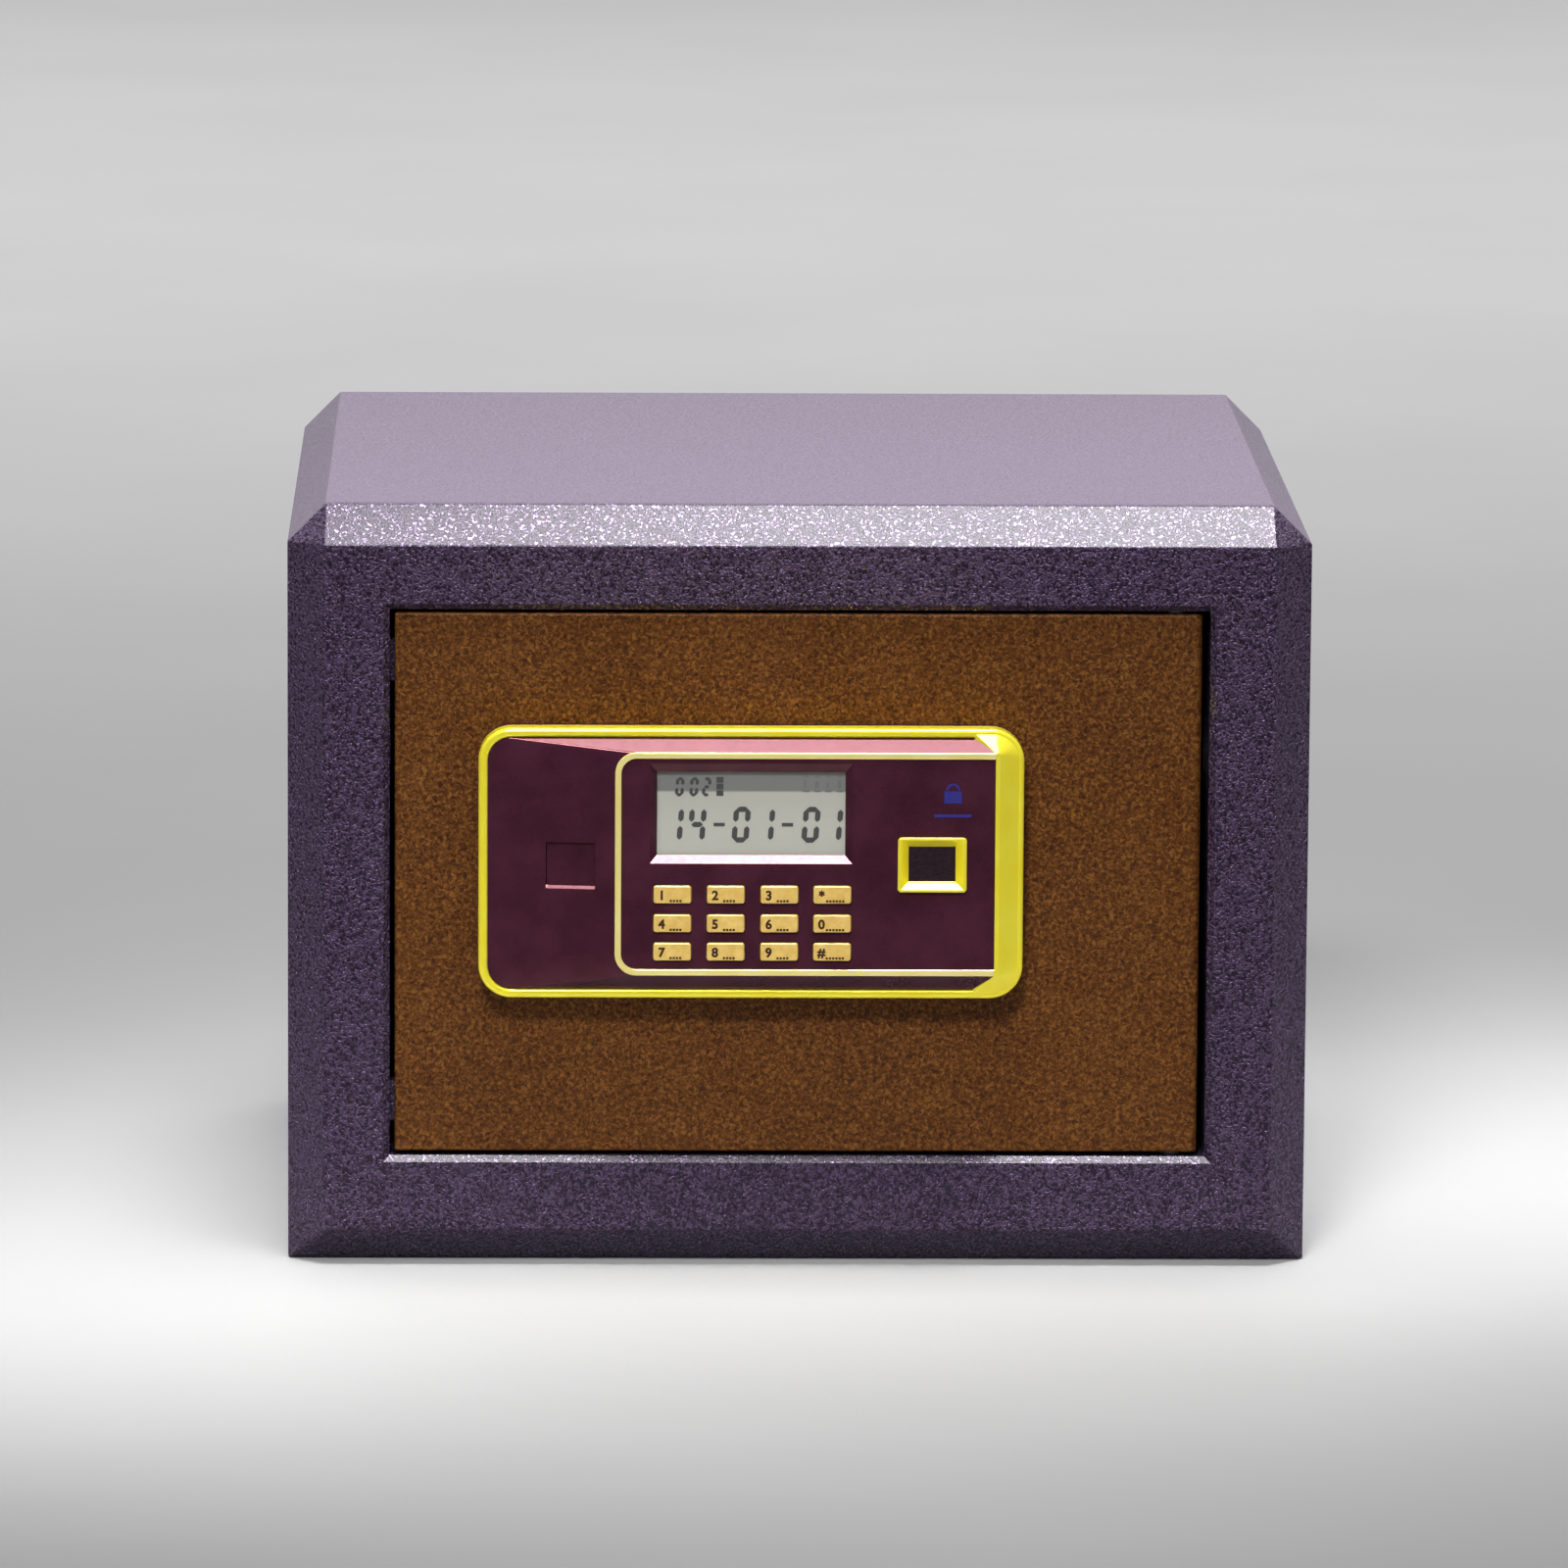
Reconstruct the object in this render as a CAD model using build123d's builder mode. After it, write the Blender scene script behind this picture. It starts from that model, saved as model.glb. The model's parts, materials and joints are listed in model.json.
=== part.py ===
"""In-room safe: steel body, right-hung door, motor-driven bolts and an electronic lock panel.

Millimetres. X runs to the right seen from the front, Y runs to the back, Z runs up.
The origin is the centre of the body's bottom face.
"""

import math
import os

from build123d import *

# Body
BODY_W = 400.0
BODY_H = 300.0
BODY_D = 340.0
TOP_CHAMFER = 15.0
FRAME_BEVEL = 14.5
FRAME_COLLAR = 4.0
FRAME_T = 3.0
SHEET_T = 2.0
FOLD_R = 1.2
Y_FRONT = -BODY_D / 2
Y_BACK = BODY_D / 2
Y_WRAP = Y_FRONT + FRAME_BEVEL + FRAME_COLLAR

# Door opening and its jamb
OPEN_W = 320.0
OPEN_H = 216.7
OPEN_Z = 151.95
JAMB_DEPTH = 45.0
JAMB_T = 3.0
OPEN_EDGE_CUT = 2.4
Y_JAMB_FRONT = Y_FRONT + FRAME_T
Y_JAMB_BACK = Y_FRONT + JAMB_DEPTH
JAMB_BACK_LENGTH = Y_JAMB_BACK - Y_JAMB_FRONT
JAMB_X = OPEN_W / 2
OPEN_Z0 = OPEN_Z - OPEN_H / 2
OPEN_Z1 = OPEN_Z + OPEN_H / 2
STOP_REACH = 5.5
STOP_H = 16.0
STOP_T = 6.0
STOP_GAP = 0.3
STOP_FROM_CORNER = 21.0

# Carpet mat
MAT_MARGIN = 10.0
MAT_T = 3.0
MAT_R = 3.0
MAT_HOLE_R = 11.0

# Fixing holes in the floor and the back
FIXING_R = 6.0
FIXING_SPACING = 200.0
FIXING_BACK_Z = 150.0

# Door leaf
DOOR_RECESS = 3.0
DOOR_T = 4.0
DOOR_X0 = -158.0
DOOR_X1 = 157.0
DOOR_GAP_Z = 1.5
DOOR_H = OPEN_H - 2 * DOOR_GAP_Z
DOOR_EDGE_R = 1.2
HINGE_EDGE_R = 3.0
Y_DOOR = Y_FRONT + DOOR_RECESS
Y_DOOR_REAR = Y_DOOR + DOOR_T

# Hinge
HINGE_X = 147.0
HINGE_Y = Y_DOOR + 8.5
PIN_R = 4.0
PIN_RUN = 0.05
PIN_HOLE_CLEAR = 0.8
PIN_PROUD = 13.0
PIN_SEAT = 0.01
PIN_CHAMFER = 0.8
LUG_W = 15.0
LUG_D = 12.0
LUG_H = 20.0
PIN_LENGTH = LUG_H + PIN_PROUD
HINGE_BLOCK = 20.0
HINGE_BLOCK_H = 12.0

# Door pan and inner cover
PAN_X0 = -151.0
PAN_X1 = 128.0
PAN_H = 203.0
PAN_T = 2.0
PAN_RIM = 12.0
Y_PAN_BACK = -126.0
COVER_T = 2.0
Y_COVER_BACK = Y_PAN_BACK + COVER_T

COVER_R = 4.0
COVER_SCREW_IN = 6.0
COVER_SCREWS = tuple(
    (x, OPEN_Z + side * (PAN_H / 2 - COVER_SCREW_IN))
    for x in (PAN_X0 + COVER_SCREW_IN, (PAN_X0 + PAN_X1) / 2, PAN_X1 - COVER_SCREW_IN)
    for side in (-1, 1)
)
M3_CLEAR_R = 1.7
M3_R = 1.5
M3_HEAD_R = 2.9
M3_HEAD_H = 2.2
COVER_SCREW_L = 8.0
SCREW_SLOT = 1.8

# Bolt work
BOLT_R = 8.0
BOLT_Y = -145.0
BOLT_SPREAD = 124.0
BOLT_TIP_X = DOOR_X0 + 1.0
BOLT_TRAVEL = 14.0
BOLT_RUN = 0.08
BOLT_HOLE_CLEAR = 0.8
BOLT_Z = (OPEN_Z - BOLT_SPREAD / 2, OPEN_Z + BOLT_SPREAD / 2)
STRIKE_T = 3.0
STRIKE_W = 32.0
STRIKE_H = 180.0
STRIKE_R = 3.0
CARRIER_T = 3.0
CARRIER_FLANGE_X = -112.0
CARRIER_Y = -158.0
CARRIER_X1 = -44.0
CARRIER_Z0 = 118.0
CARRIER_Z1 = 204.0
STUD_R = 3.0
STUD_X = -68.0
STUD_Z = (130.0, 192.0)

GUIDE_H = 22.0
GUIDE_L = 12.0
TAIL_R = 3.0
TAIL_L = 4.5
BOLT_CHAMFER = 1.0
CARRIER_FLANGE_D = 22.0
WINDOW_GAP = 1.0
WINDOW_H = 19.0
STUD_PLAY = 0.4
STUD_HEAD_R = 5.0
STUD_HEAD_H = 1.5
Y_STUD_HEAD = CARRIER_Y + CARRIER_T + STUD_PLAY
LUG_PEG_X = -76.0
LUG_PEG_Z = 146.5
LUG_PEG_R = 2.5
LUG_PEG_L = 4.0
SWITCH_X0 = -39.0
SWITCH_L = 20.0
SWITCH_H = 10.0
SWITCH_Z = 180.0
LEVER_T = 1.0
LEVER_GAP = 0.4
Y_SWITCH_BACK = CARRIER_Y + CARRIER_T + 1.0

# Rack and pinion, module 1
PINION_TEETH = 12
PINION_R = 6.0
PINION_X = -80.0
ADDENDUM = 1.0
DEDENDUM = 1.25
BACKLASH = 0.18
TOOTH_PITCH = math.pi
PRESSURE_ANGLE = 20.0
RACK_TEETH = 12
RACK_LINE_Z = CARRIER_Z0 - DEDENDUM
PINION_Z = RACK_LINE_Z - PINION_R
RACK_LEAD = 2
FLANK = math.tan(math.radians(PRESSURE_ANGLE))
HALF_TOOTH = TOOTH_PITCH / 4 - BACKLASH
TIP_HALF = HALF_TOOTH - ADDENDUM * FLANK
ROOT_HALF = HALF_TOOTH + DEDENDUM * FLANK
TOOTH_OUTLINE = (
    (-ROOT_HALF, DEDENDUM),
    (-TIP_HALF, -ADDENDUM),
    (TIP_HALF, -ADDENDUM),
    (ROOT_HALF, DEDENDUM),
)
PINION_TOOTH = (
    (PINION_R - 1.5 * DEDENDUM, -HALF_TOOTH),
    (PINION_R, -HALF_TOOTH),
    (PINION_R + ADDENDUM, -TIP_HALF),
    (PINION_R + ADDENDUM, TIP_HALF),
    (PINION_R, HALF_TOOTH),
    (PINION_R - 1.5 * DEDENDUM, HALF_TOOTH),
)
SHAFT_R = 3.0
PINION_WIDTH = 6.0
Y_PINION_BACK = CARRIER_Y + CARRIER_T / 2 + PINION_WIDTH / 2
SHAFT_L = 9.0

# Motor and its bracket
Y_BRACKET = -150.0
BRACKET_T = 1.5
BRACKET_X0 = -104.0
BRACKET_X1 = -56.0
BRACKET_Z0 = 70.0
BRACKET_Z1 = 122.0
BRACKET_LEG = 32.0
BRACKET_FOOT = 8.0
GEARBOX_W = 32.0
GEARBOX_H = 26.0
GEARBOX_D = 14.0
GEARBOX_Z0 = 98.0
MOTOR_R = 6.8
MOTOR_L = 30.0
SHAFT_BORE = 7.0
SHAFT_CLEAR = 1.0

# Override lock
LOCK_X = -89.4
LOCK_Z = 161.1
LOCK_R = 8.0
PLUG_R = 5.4
Y_LOCK_FRONT = -177.6
Y_LOCK_BACK = -151.0
LOCK_HOLE_CLEAR = 0.3
NUT_T = 4.4
NUT_R = 11.5
KEYWAY_W = 1.6
KEYWAY_H = 7.0
KEYWAY_D = 12.0
CAM_T = 2.5
CAM_W = 8.0
CAM_GAP = 0.4
CAM_LENGTH = 12.0

# Ribbon from the keypad board to the control board
RIBBON_X = 4.0
RIBBON_Z = 129.5
RIBBON_W = 9.0
RIBBON_SLOT = 2.0
RIBBON_T = 0.6
RIBBON_SIDE_GAP = 1.0
RIBBON_HALF = RIBBON_W - RIBBON_SIDE_GAP

# Lock panel on the door's face
PANEL_X0 = -125.3
PANEL_X1 = 87.4
PANEL_Z0 = 108.5
PANEL_Z1 = 215.3
PANEL_R = 13.0
PANEL_CENTRE = ((PANEL_X0 + PANEL_X1) / 2, (PANEL_Z0 + PANEL_Z1) / 2)
RIM_W = 3.8
Y_RIM_BACK = -171.0
Y_RIM = -179.4
Y_ROOF = -179.0
Y_PLATEAU = -185.0
PLATEAU_X0 = -72.1
PLATEAU_Z0 = 118.7
PLATEAU_Z1 = 206.9
PLATEAU_R = 8.5
BAND_X0 = 76.0
BAND_FOOT_X0 = 68.0
BAND_TOP_W = 1.6
BAND_R = 11.0
RIM_EDGE_R = 1.6
BAND_X1 = PANEL_X1 - RIM_EDGE_R
BAND_Z0 = PANEL_Z0 + RIM_EDGE_R
BAND_Z1 = PANEL_Z1 - RIM_EDGE_R
LINE_W = 2.5
LINE_PROUD = 0.9
WALL = 2.9
Y_HOLLOW = Y_ROOF + WALL
HOLLOW_X0 = PANEL_X0 + RIM_W + WALL
HOLLOW_X1 = BAND_FOOT_X0 - WALL
HOLLOW_Z0 = PANEL_Z0 + RIM_W + WALL
HOLLOW_Z1 = PANEL_Z1 - RIM_W - WALL
BOSS_R = 4.0
PANEL_SCREW_BITE = 6.0
PANEL_SCREW_L = DOOR_T + PANEL_SCREW_BITE - 1.0
SLEEVE_R = 10.8
SLEEVE_BORE_R = LOCK_R + LOCK_HOLE_CLEAR
Y_SLEEVE = -181.0
BOSS_COLUMNS = ((-108.0, -178.5), (48.0, -183.5))
BOSS_ROWS = (124.0, 200.0)
SCREW_BOSSES = tuple((x, z, y_top) for x, y_top in BOSS_COLUMNS for z in BOSS_ROWS)

# Display
LCD_X0 = -55.8
LCD_X1 = 17.6
LCD_Z0 = 165.9
LCD_Z1 = 198.7
LCD_SLOPE = 2.7
LCD_SLOPE_FOOT = 2.9
LCD_SLOPE_TOP = 3.8
LCD_MODULE_GROW = 3.8
MODULE_X0 = LCD_X0 - LCD_MODULE_GROW
MODULE_X1 = LCD_X1 + LCD_MODULE_GROW
MODULE_Z0 = LCD_Z0 - LCD_MODULE_GROW
MODULE_Z1 = LCD_Z1 + LCD_MODULE_GROW
LENS_T = 1.5
MODULE_T = 5.0

# Keypad
KEY_W = 14.7
KEY_H = 7.0
KEY_COLUMNS = (-49.65, -28.85, -7.95, 12.65)
KEY_ROWS = (150.9, 139.5, 128.3)
KEY_PROUD = 1.4
KEY_GAP = 0.3
KEY_TRAVEL = 0.9
KEY_R = 1.0
KEY_EDGE_R = 0.6
KEY_FLANGE = 1.0
KEY_FLANGE_T = 0.9
Y_KEY_BACK = Y_PLATEAU + WALL + KEY_FLANGE_T + KEY_GAP
PAD_X0 = -64.0
PAD_X1 = 27.0
PAD_Z0 = 121.6
PAD_Z1 = 159.0
MAT_PAD_T = 1.5
Y_PAD_FRONT = Y_KEY_BACK + KEY_TRAVEL + KEY_GAP
BOARD_T = 1.6
Y_PAD_BACK = Y_PAD_FRONT + MAT_PAD_T + BOARD_T
KEY_NAMES = (
    ("key_1", "key_2", "key_3", "key_star"),
    ("key_4", "key_5", "key_6", "key_0"),
    ("key_7", "key_8", "key_9", "key_hash"),
)

# Fingerprint reader
PRINT_X = 51.5
PRINT_Z = 162.8
PRINT_W = 26.9
PRINT_H = 21.6
PRINT_WINDOW_W = 18.3
PRINT_WINDOW_H = 13.8
PRINT_NECK = 1.6
PRINT_R = 1.5
PRINT_PROUD = 1.5
PRINT_EDGE_R = 0.5
FUNNEL_RUN = 2.8
FUNNEL_DEPTH = 3.0
SENSOR_T = 5.0

# Cap over the override lock
CAP_W = 19.2
CAP_H = 17.0
CAP_RAISE = 1.2
CAP_SILL = 1.2
CAP_INSET = 1.0
CAP_T = 2.0
CAP_GAP = 0.25
SLOPE_RUN = PLATEAU_X0 - PANEL_X0 - RIM_W
SLOPE_RISE = Y_ROOF - Y_PLATEAU
CAP_PLANE = Plane(
    origin=(LOCK_X, Y_ROOF - SLOPE_RISE * (LOCK_X - PANEL_X0 - RIM_W) / SLOPE_RUN, LOCK_Z + CAP_RAISE),
    x_dir=(SLOPE_RUN, -SLOPE_RISE, 0),
    z_dir=(-SLOPE_RISE, -SLOPE_RUN, 0),
)

# Electronics and battery box behind the door
BOARD_X0 = -20.0
BOARD_X1 = 100.0
BOARD_Z0 = 112.0
BOARD_Z1 = 226.0
Y_BOARD = -152.0
BOARD_HOLE_IN = 5.0
BUZZER_X = 45.0
BUZZER_Z = 180.0
BUZZER_R = 6.0
BUZZER_H = 7.5
RESET_X = 20.0
RESET_Z = 215.0
# Centre x and z, width, height and reach of the parts on the board
CHIP = (10.0, 165.0, 16.0, 16.0, 1.6)
RELAY = (70.0, 200.0, 19.0, 15.0, 15.0)
MOTOR_PLUG = (-10.0, 140.0, 8.0, 24.0, 9.0)
RIBBON_PLUG = (RIBBON_X, RIBBON_Z, 24.0, 6.0, 3.0)
RESET_SWITCH = (RESET_X, RESET_Z, 6.0, 6.0, 3.0)
CELL_PLUG = (84.0, 150.0, 24.0, 8.0, 4.0)
BOX_X0 = 50.0
BOX_X1 = 112.0
BOX_Z0 = 66.0
BOX_Z1 = 132.0
BOX_DEPTH = 19.0
BOX_T = 1.5
CELL_R = 7.1
CELL_LENGTH = 49.0
CELL_PITCH = 15.2
CELL_COUNT = 4
CELL_FLOOR_GAP = 0.2
CELL_X = (BOX_X0 + BOX_X1) / 2
CELL_ROWS = tuple(
    (BOX_Z0 + BOX_Z1) / 2 + (cell - (CELL_COUNT - 1) / 2) * CELL_PITCH for cell in range(CELL_COUNT)
)
CELL_Y = Y_COVER_BACK - BOX_DEPTH + BOX_T + CELL_R + CELL_FLOOR_GAP
CELL_NUB_R = 2.75
CELL_NUB = 1.2
CONTACT_T = 0.6
CONTACT_W = 10.0
CONTACT_FOOT_R = 4.5
CONTACT_TIP_R = 2.25
CONTACT_PLAY = 0.13
RESET_R = 4.0
RESET_FIT = 0.3
RESET_PROUD = 1.8
RESET_COLLAR_R = 6.0
RESET_COLLAR_T = 1.5
RESET_STEM_R = 2.0
RESET_STEM_L = 19.5
BOX_FIT = 0.3
FLAP_T = 2.0
FLAP_LAP = 3.5
FLAP_BARREL_R = 2.5
FLAP_PIN_R = 1.2
FLAP_GAP = 0.3
FLAP_Y = Y_COVER_BACK + FLAP_BARREL_R + FLAP_GAP
FLAP_Z = BOX_Z0 - 7.0
Y_FLAP = Y_COVER_BACK + FLAP_GAP
EAR_CLEAR = 0.5
FLAP_LIP_W = 20.0
EAR_OUT = 0.5
EAR_W = 3.0
EAR_PIN = 4.0

# Points closer than this are the same point
TOUCH = 0.01

os.makedirs("parts", exist_ok=True)


def facing(y):
    """Plane at depth y that looks out of the front: local x is X, local y is Z."""
    return Plane(origin=(0, y, 0), x_dir=(1, 0, 0), z_dir=(0, -1, 0))


def span(low, high):
    """Centre and length of a stretch."""
    return (low + high) / 2, high - low


def rectangle(x0, x1, z0, z1):
    """Rectangle between two corners, on the current front-facing sketch."""
    x, width = span(x0, x1)
    z, height = span(z0, z1)
    with Locations((x, z)):
        return Rectangle(width, height)


def finish(piece, name):
    """Label a finished piece and write its STEP file."""
    piece.part.label = name
    export_step(piece.part, f"parts/{name}.step")


def slab(x0, x1, z0, z1, y_back, depth, mode=Mode.ADD):
    """Block between two corners, from y_back forward by depth."""
    with BuildSketch(facing(y_back)) as outline:
        rectangle(x0, x1, z0, z1)
    extrude(outline.sketch, amount=depth, mode=mode)


def centred_slab(x, z, width, height, y_back, depth, mode=Mode.ADD):
    """Block round a centre, from y_back forward by depth."""
    slab(x - width / 2, x + width / 2, z - height / 2, z + height / 2, y_back, depth, mode)


def round_bar(x, z, radius, y_back, length, mode=Mode.ADD):
    """Cylinder along Y, from y_back forward by length."""
    with BuildSketch(facing(y_back)) as outline:
        with Locations((x, z)):
            Circle(radius)
    extrude(outline.sketch, amount=length, mode=mode)


# --- Body -----------------------------------------------------------------------------------

def frame_block(inset):
    """Solid front of the body with its bevel and corner facets, shrunk all round by inset."""
    bevel = FRAME_BEVEL - inset * (2 - math.sqrt(2))
    y_front = Y_FRONT + inset
    with BuildPart() as block:
        with BuildSketch(facing(Y_WRAP)):
            rectangle(-BODY_W / 2 + inset, BODY_W / 2 - inset, inset, BODY_H - inset)
        extrude(amount=Y_WRAP - y_front - bevel)
        with BuildSketch(facing(y_front + bevel)):
            rectangle(-BODY_W / 2 + inset, BODY_W / 2 - inset, inset, BODY_H - inset)
        with BuildSketch(facing(y_front)):
            margin = inset + bevel
            rectangle(-BODY_W / 2 + margin, BODY_W / 2 - margin, margin, BODY_H - margin)
        loft()
        for side in (-1, 1):
            corner = (side * BODY_W / 2, Y_FRONT + FRAME_BEVEL, BODY_H - TOP_CHAMFER)
            facet_normal = (side * FRAME_BEVEL, TOP_CHAMFER - 2 * FRAME_BEVEL, FRAME_BEVEL)
            for normal in ((side, 0, 1), facet_normal):
                split(bisect_by=Plane(origin=corner, z_dir=normal).offset(-inset), keep=Keep.BOTTOM)
    return block.part


frame_hollow = frame_block(FRAME_T)

# Front frame: pressed ring with a bevel all round and a cut facet at both top corners
with BuildPart() as front_frame:
    add(frame_block(0))
    fillet(edges().filter_by(lambda e: e.center().Y < Y_WRAP - FRAME_COLLAR / 4), FOLD_R)
    add(frame_hollow, mode=Mode.SUBTRACT)
    slab(-JAMB_X, JAMB_X, OPEN_Z0, OPEN_Z1, Y_JAMB_FRONT, FRAME_T, Mode.SUBTRACT)
    front_edges = edges().group_by(Axis.Y)[0]
    opening_edges = front_edges.filter_by(
        lambda e: abs(e.center().X) < JAMB_X + TOUCH and abs(e.center().Z - OPEN_Z) < OPEN_H / 2 + TOUCH
    )
    chamfer(opening_edges, OPEN_EDGE_CUT)
finish(front_frame, "front_frame")

# Door jamb: folded ring behind the frame's opening, drilled for the bolts and the hinge pins
with BuildPart() as door_jamb:
    slab(-JAMB_X - JAMB_T, JAMB_X + JAMB_T, OPEN_Z0 - JAMB_T, OPEN_Z1 + JAMB_T, Y_JAMB_BACK, JAMB_BACK_LENGTH)
    slab(-JAMB_X, JAMB_X, OPEN_Z0, OPEN_Z1, Y_JAMB_BACK, JAMB_BACK_LENGTH, Mode.SUBTRACT)
    with BuildSketch(Plane.YZ.offset(-JAMB_X - JAMB_T)) as bolt_holes:
        with Locations(*[(BOLT_Y, z) for z in BOLT_Z]):
            Circle(BOLT_R + BOLT_HOLE_CLEAR)
    extrude(bolt_holes.sketch, amount=JAMB_T, mode=Mode.SUBTRACT)
    with BuildSketch(Plane.XY.offset(OPEN_Z0 - JAMB_T)) as pin_holes:
        with Locations((HINGE_X, HINGE_Y)):
            Circle(PIN_R + PIN_HOLE_CLEAR)
    extrude(pin_holes.sketch, amount=OPEN_H + 2 * JAMB_T, mode=Mode.SUBTRACT)
finish(door_jamb, "door_jamb")

# Strike plate: doubles the jamb where the bolts go through
with BuildPart() as strike_plate:
    with BuildSketch(Plane.YZ.offset(-JAMB_X - JAMB_T - STRIKE_T)):
        with Locations((BOLT_Y, OPEN_Z)):
            RectangleRounded(STRIKE_W, STRIKE_H, STRIKE_R)
        with Locations(*[(BOLT_Y, z) for z in BOLT_Z]):
            Circle(BOLT_R + BOLT_HOLE_CLEAR, mode=Mode.SUBTRACT)
    extrude(amount=STRIKE_T)
finish(strike_plate, "strike_plate")

# Hinge blocks: bored blocks welded above and below the jamb
with BuildPart() as hinge_blocks:
    for base_z in (OPEN_Z0 - JAMB_T - HINGE_BLOCK_H, OPEN_Z1 + JAMB_T):
        with BuildSketch(Plane.XY.offset(base_z)) as block:
            with Locations((HINGE_X, Y_JAMB_FRONT + HINGE_BLOCK / 2)):
                RectangleRounded(HINGE_BLOCK, HINGE_BLOCK, FOLD_R)
            with Locations((HINGE_X, HINGE_Y)):
                Circle(PIN_R + PIN_RUN, mode=Mode.SUBTRACT)
        extrude(block.sketch, amount=HINGE_BLOCK_H)
finish(hinge_blocks, "hinge_blocks")

# Door stops: tabs behind the leaf's free edge
with BuildPart() as door_stops:
    for z in (OPEN_Z0 + STOP_FROM_CORNER, OPEN_Z1 - STOP_FROM_CORNER):
        slab(-JAMB_X, -JAMB_X + STOP_REACH, z - STOP_H / 2, z + STOP_H / 2,
             Y_DOOR_REAR + STOP_GAP + STOP_T, STOP_T)
finish(door_stops, "door_stops")

# Body wrap: one sheet folded over the left side, the top and the right side
with BuildPart() as body_wrap:
    with BuildSketch(facing(Y_BACK)):
        rectangle(-BODY_W / 2, BODY_W / 2, 0, BODY_H)
        chamfer(vertices().group_by(Axis.Y)[-1], TOP_CHAMFER)
        fillet(vertices().filter_by(lambda v: v.Y > SHEET_T), FOLD_R)
        offset(amount=-SHEET_T, kind=Kind.INTERSECTION, mode=Mode.SUBTRACT)
        with Locations((0, SHEET_T / 2)):
            Rectangle(BODY_W - 2 * SHEET_T, SHEET_T, mode=Mode.SUBTRACT)
    extrude(amount=Y_BACK - Y_WRAP)
finish(body_wrap, "body_wrap")

# Floor panel with its two fixing holes
with BuildPart() as floor_panel:
    with BuildSketch(Plane.XY):
        with Locations((0, (Y_WRAP + Y_BACK - SHEET_T) / 2)):
            Rectangle(BODY_W - 2 * SHEET_T, Y_BACK - SHEET_T - Y_WRAP)
        with GridLocations(FIXING_SPACING, 0, 2, 1):
            Circle(FIXING_R, mode=Mode.SUBTRACT)
    extrude(amount=SHEET_T)
finish(floor_panel, "floor_panel")

# Back panel, set inside the wrap, with its two fixing holes
with BuildPart() as back_panel:
    with BuildSketch(facing(Y_BACK)):
        rectangle(-BODY_W / 2, BODY_W / 2, 0, BODY_H)
        chamfer(vertices().group_by(Axis.Y)[-1], TOP_CHAMFER)
        offset(amount=-SHEET_T, kind=Kind.INTERSECTION, mode=Mode.REPLACE)
        with Locations((0, SHEET_T / 2)):
            Rectangle(BODY_W - 2 * SHEET_T, SHEET_T)
        with Locations((-FIXING_SPACING / 2, FIXING_BACK_Z), (FIXING_SPACING / 2, FIXING_BACK_Z)):
            Circle(FIXING_R, mode=Mode.SUBTRACT)
    extrude(amount=SHEET_T)
finish(back_panel, "back_panel")

# Carpet mat on the floor, cut out over the fixing holes
with BuildPart() as carpet_mat:
    with BuildSketch(Plane.XY.offset(SHEET_T)):
        with Locations((0, (Y_JAMB_BACK + Y_BACK) / 2)):
            RectangleRounded(BODY_W - 2 * MAT_MARGIN, Y_BACK - Y_JAMB_BACK - MAT_MARGIN, MAT_R)
        with GridLocations(FIXING_SPACING, 0, 2, 1):
            Circle(MAT_HOLE_R, mode=Mode.SUBTRACT)
    extrude(amount=MAT_T)
finish(carpet_mat, "carpet_mat")

# --- Door leaf ------------------------------------------------------------------------------

# Door plate, with holes for the override lock, the ribbon and the panel's screws
with BuildPart() as door_plate:
    slab(DOOR_X0, DOOR_X1, OPEN_Z - DOOR_H / 2, OPEN_Z + DOOR_H / 2, Y_DOOR_REAR, DOOR_T)
    face_edges = edges().group_by(Axis.Y)[0]
    fillet(face_edges.sort_by(Axis.X)[-1], HINGE_EDGE_R)
    fillet(edges().group_by(Axis.Y)[0].sort_by(Axis.X)[0], DOOR_EDGE_R)
    fillet(edges().group_by(Axis.Y)[0].filter_by(Axis.X), DOOR_EDGE_R)
    round_bar(LOCK_X, LOCK_Z, LOCK_R + LOCK_HOLE_CLEAR, Y_DOOR_REAR, DOOR_T, Mode.SUBTRACT)
    slab(RIBBON_X - RIBBON_W, RIBBON_X + RIBBON_W, RIBBON_Z - RIBBON_SLOT, RIBBON_Z + RIBBON_SLOT,
         Y_DOOR_REAR, DOOR_T, Mode.SUBTRACT)
    for x, z, _ in SCREW_BOSSES:
        round_bar(x, z, M3_CLEAR_R, Y_DOOR_REAR, DOOR_T, Mode.SUBTRACT)
finish(door_plate, "door_plate")

# Hinge lugs welded to the back of the plate
with BuildPart() as hinge_lugs:
    for base_z in (OPEN_Z - DOOR_H / 2, OPEN_Z + DOOR_H / 2 - LUG_H):
        with BuildSketch(Plane.XY.offset(base_z)) as lug:
            with Locations((HINGE_X, Y_DOOR_REAR + LUG_D / 2)):
                Rectangle(LUG_W, LUG_D)
            fillet(lug.vertices().group_by(Axis.Y)[-1], PIN_R / 2)
            with Locations((HINGE_X, HINGE_Y)):
                Circle(PIN_R + PIN_SEAT, mode=Mode.SUBTRACT)
        extrude(lug.sketch, amount=LUG_H)
finish(hinge_lugs, "hinge_lugs")

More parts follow.
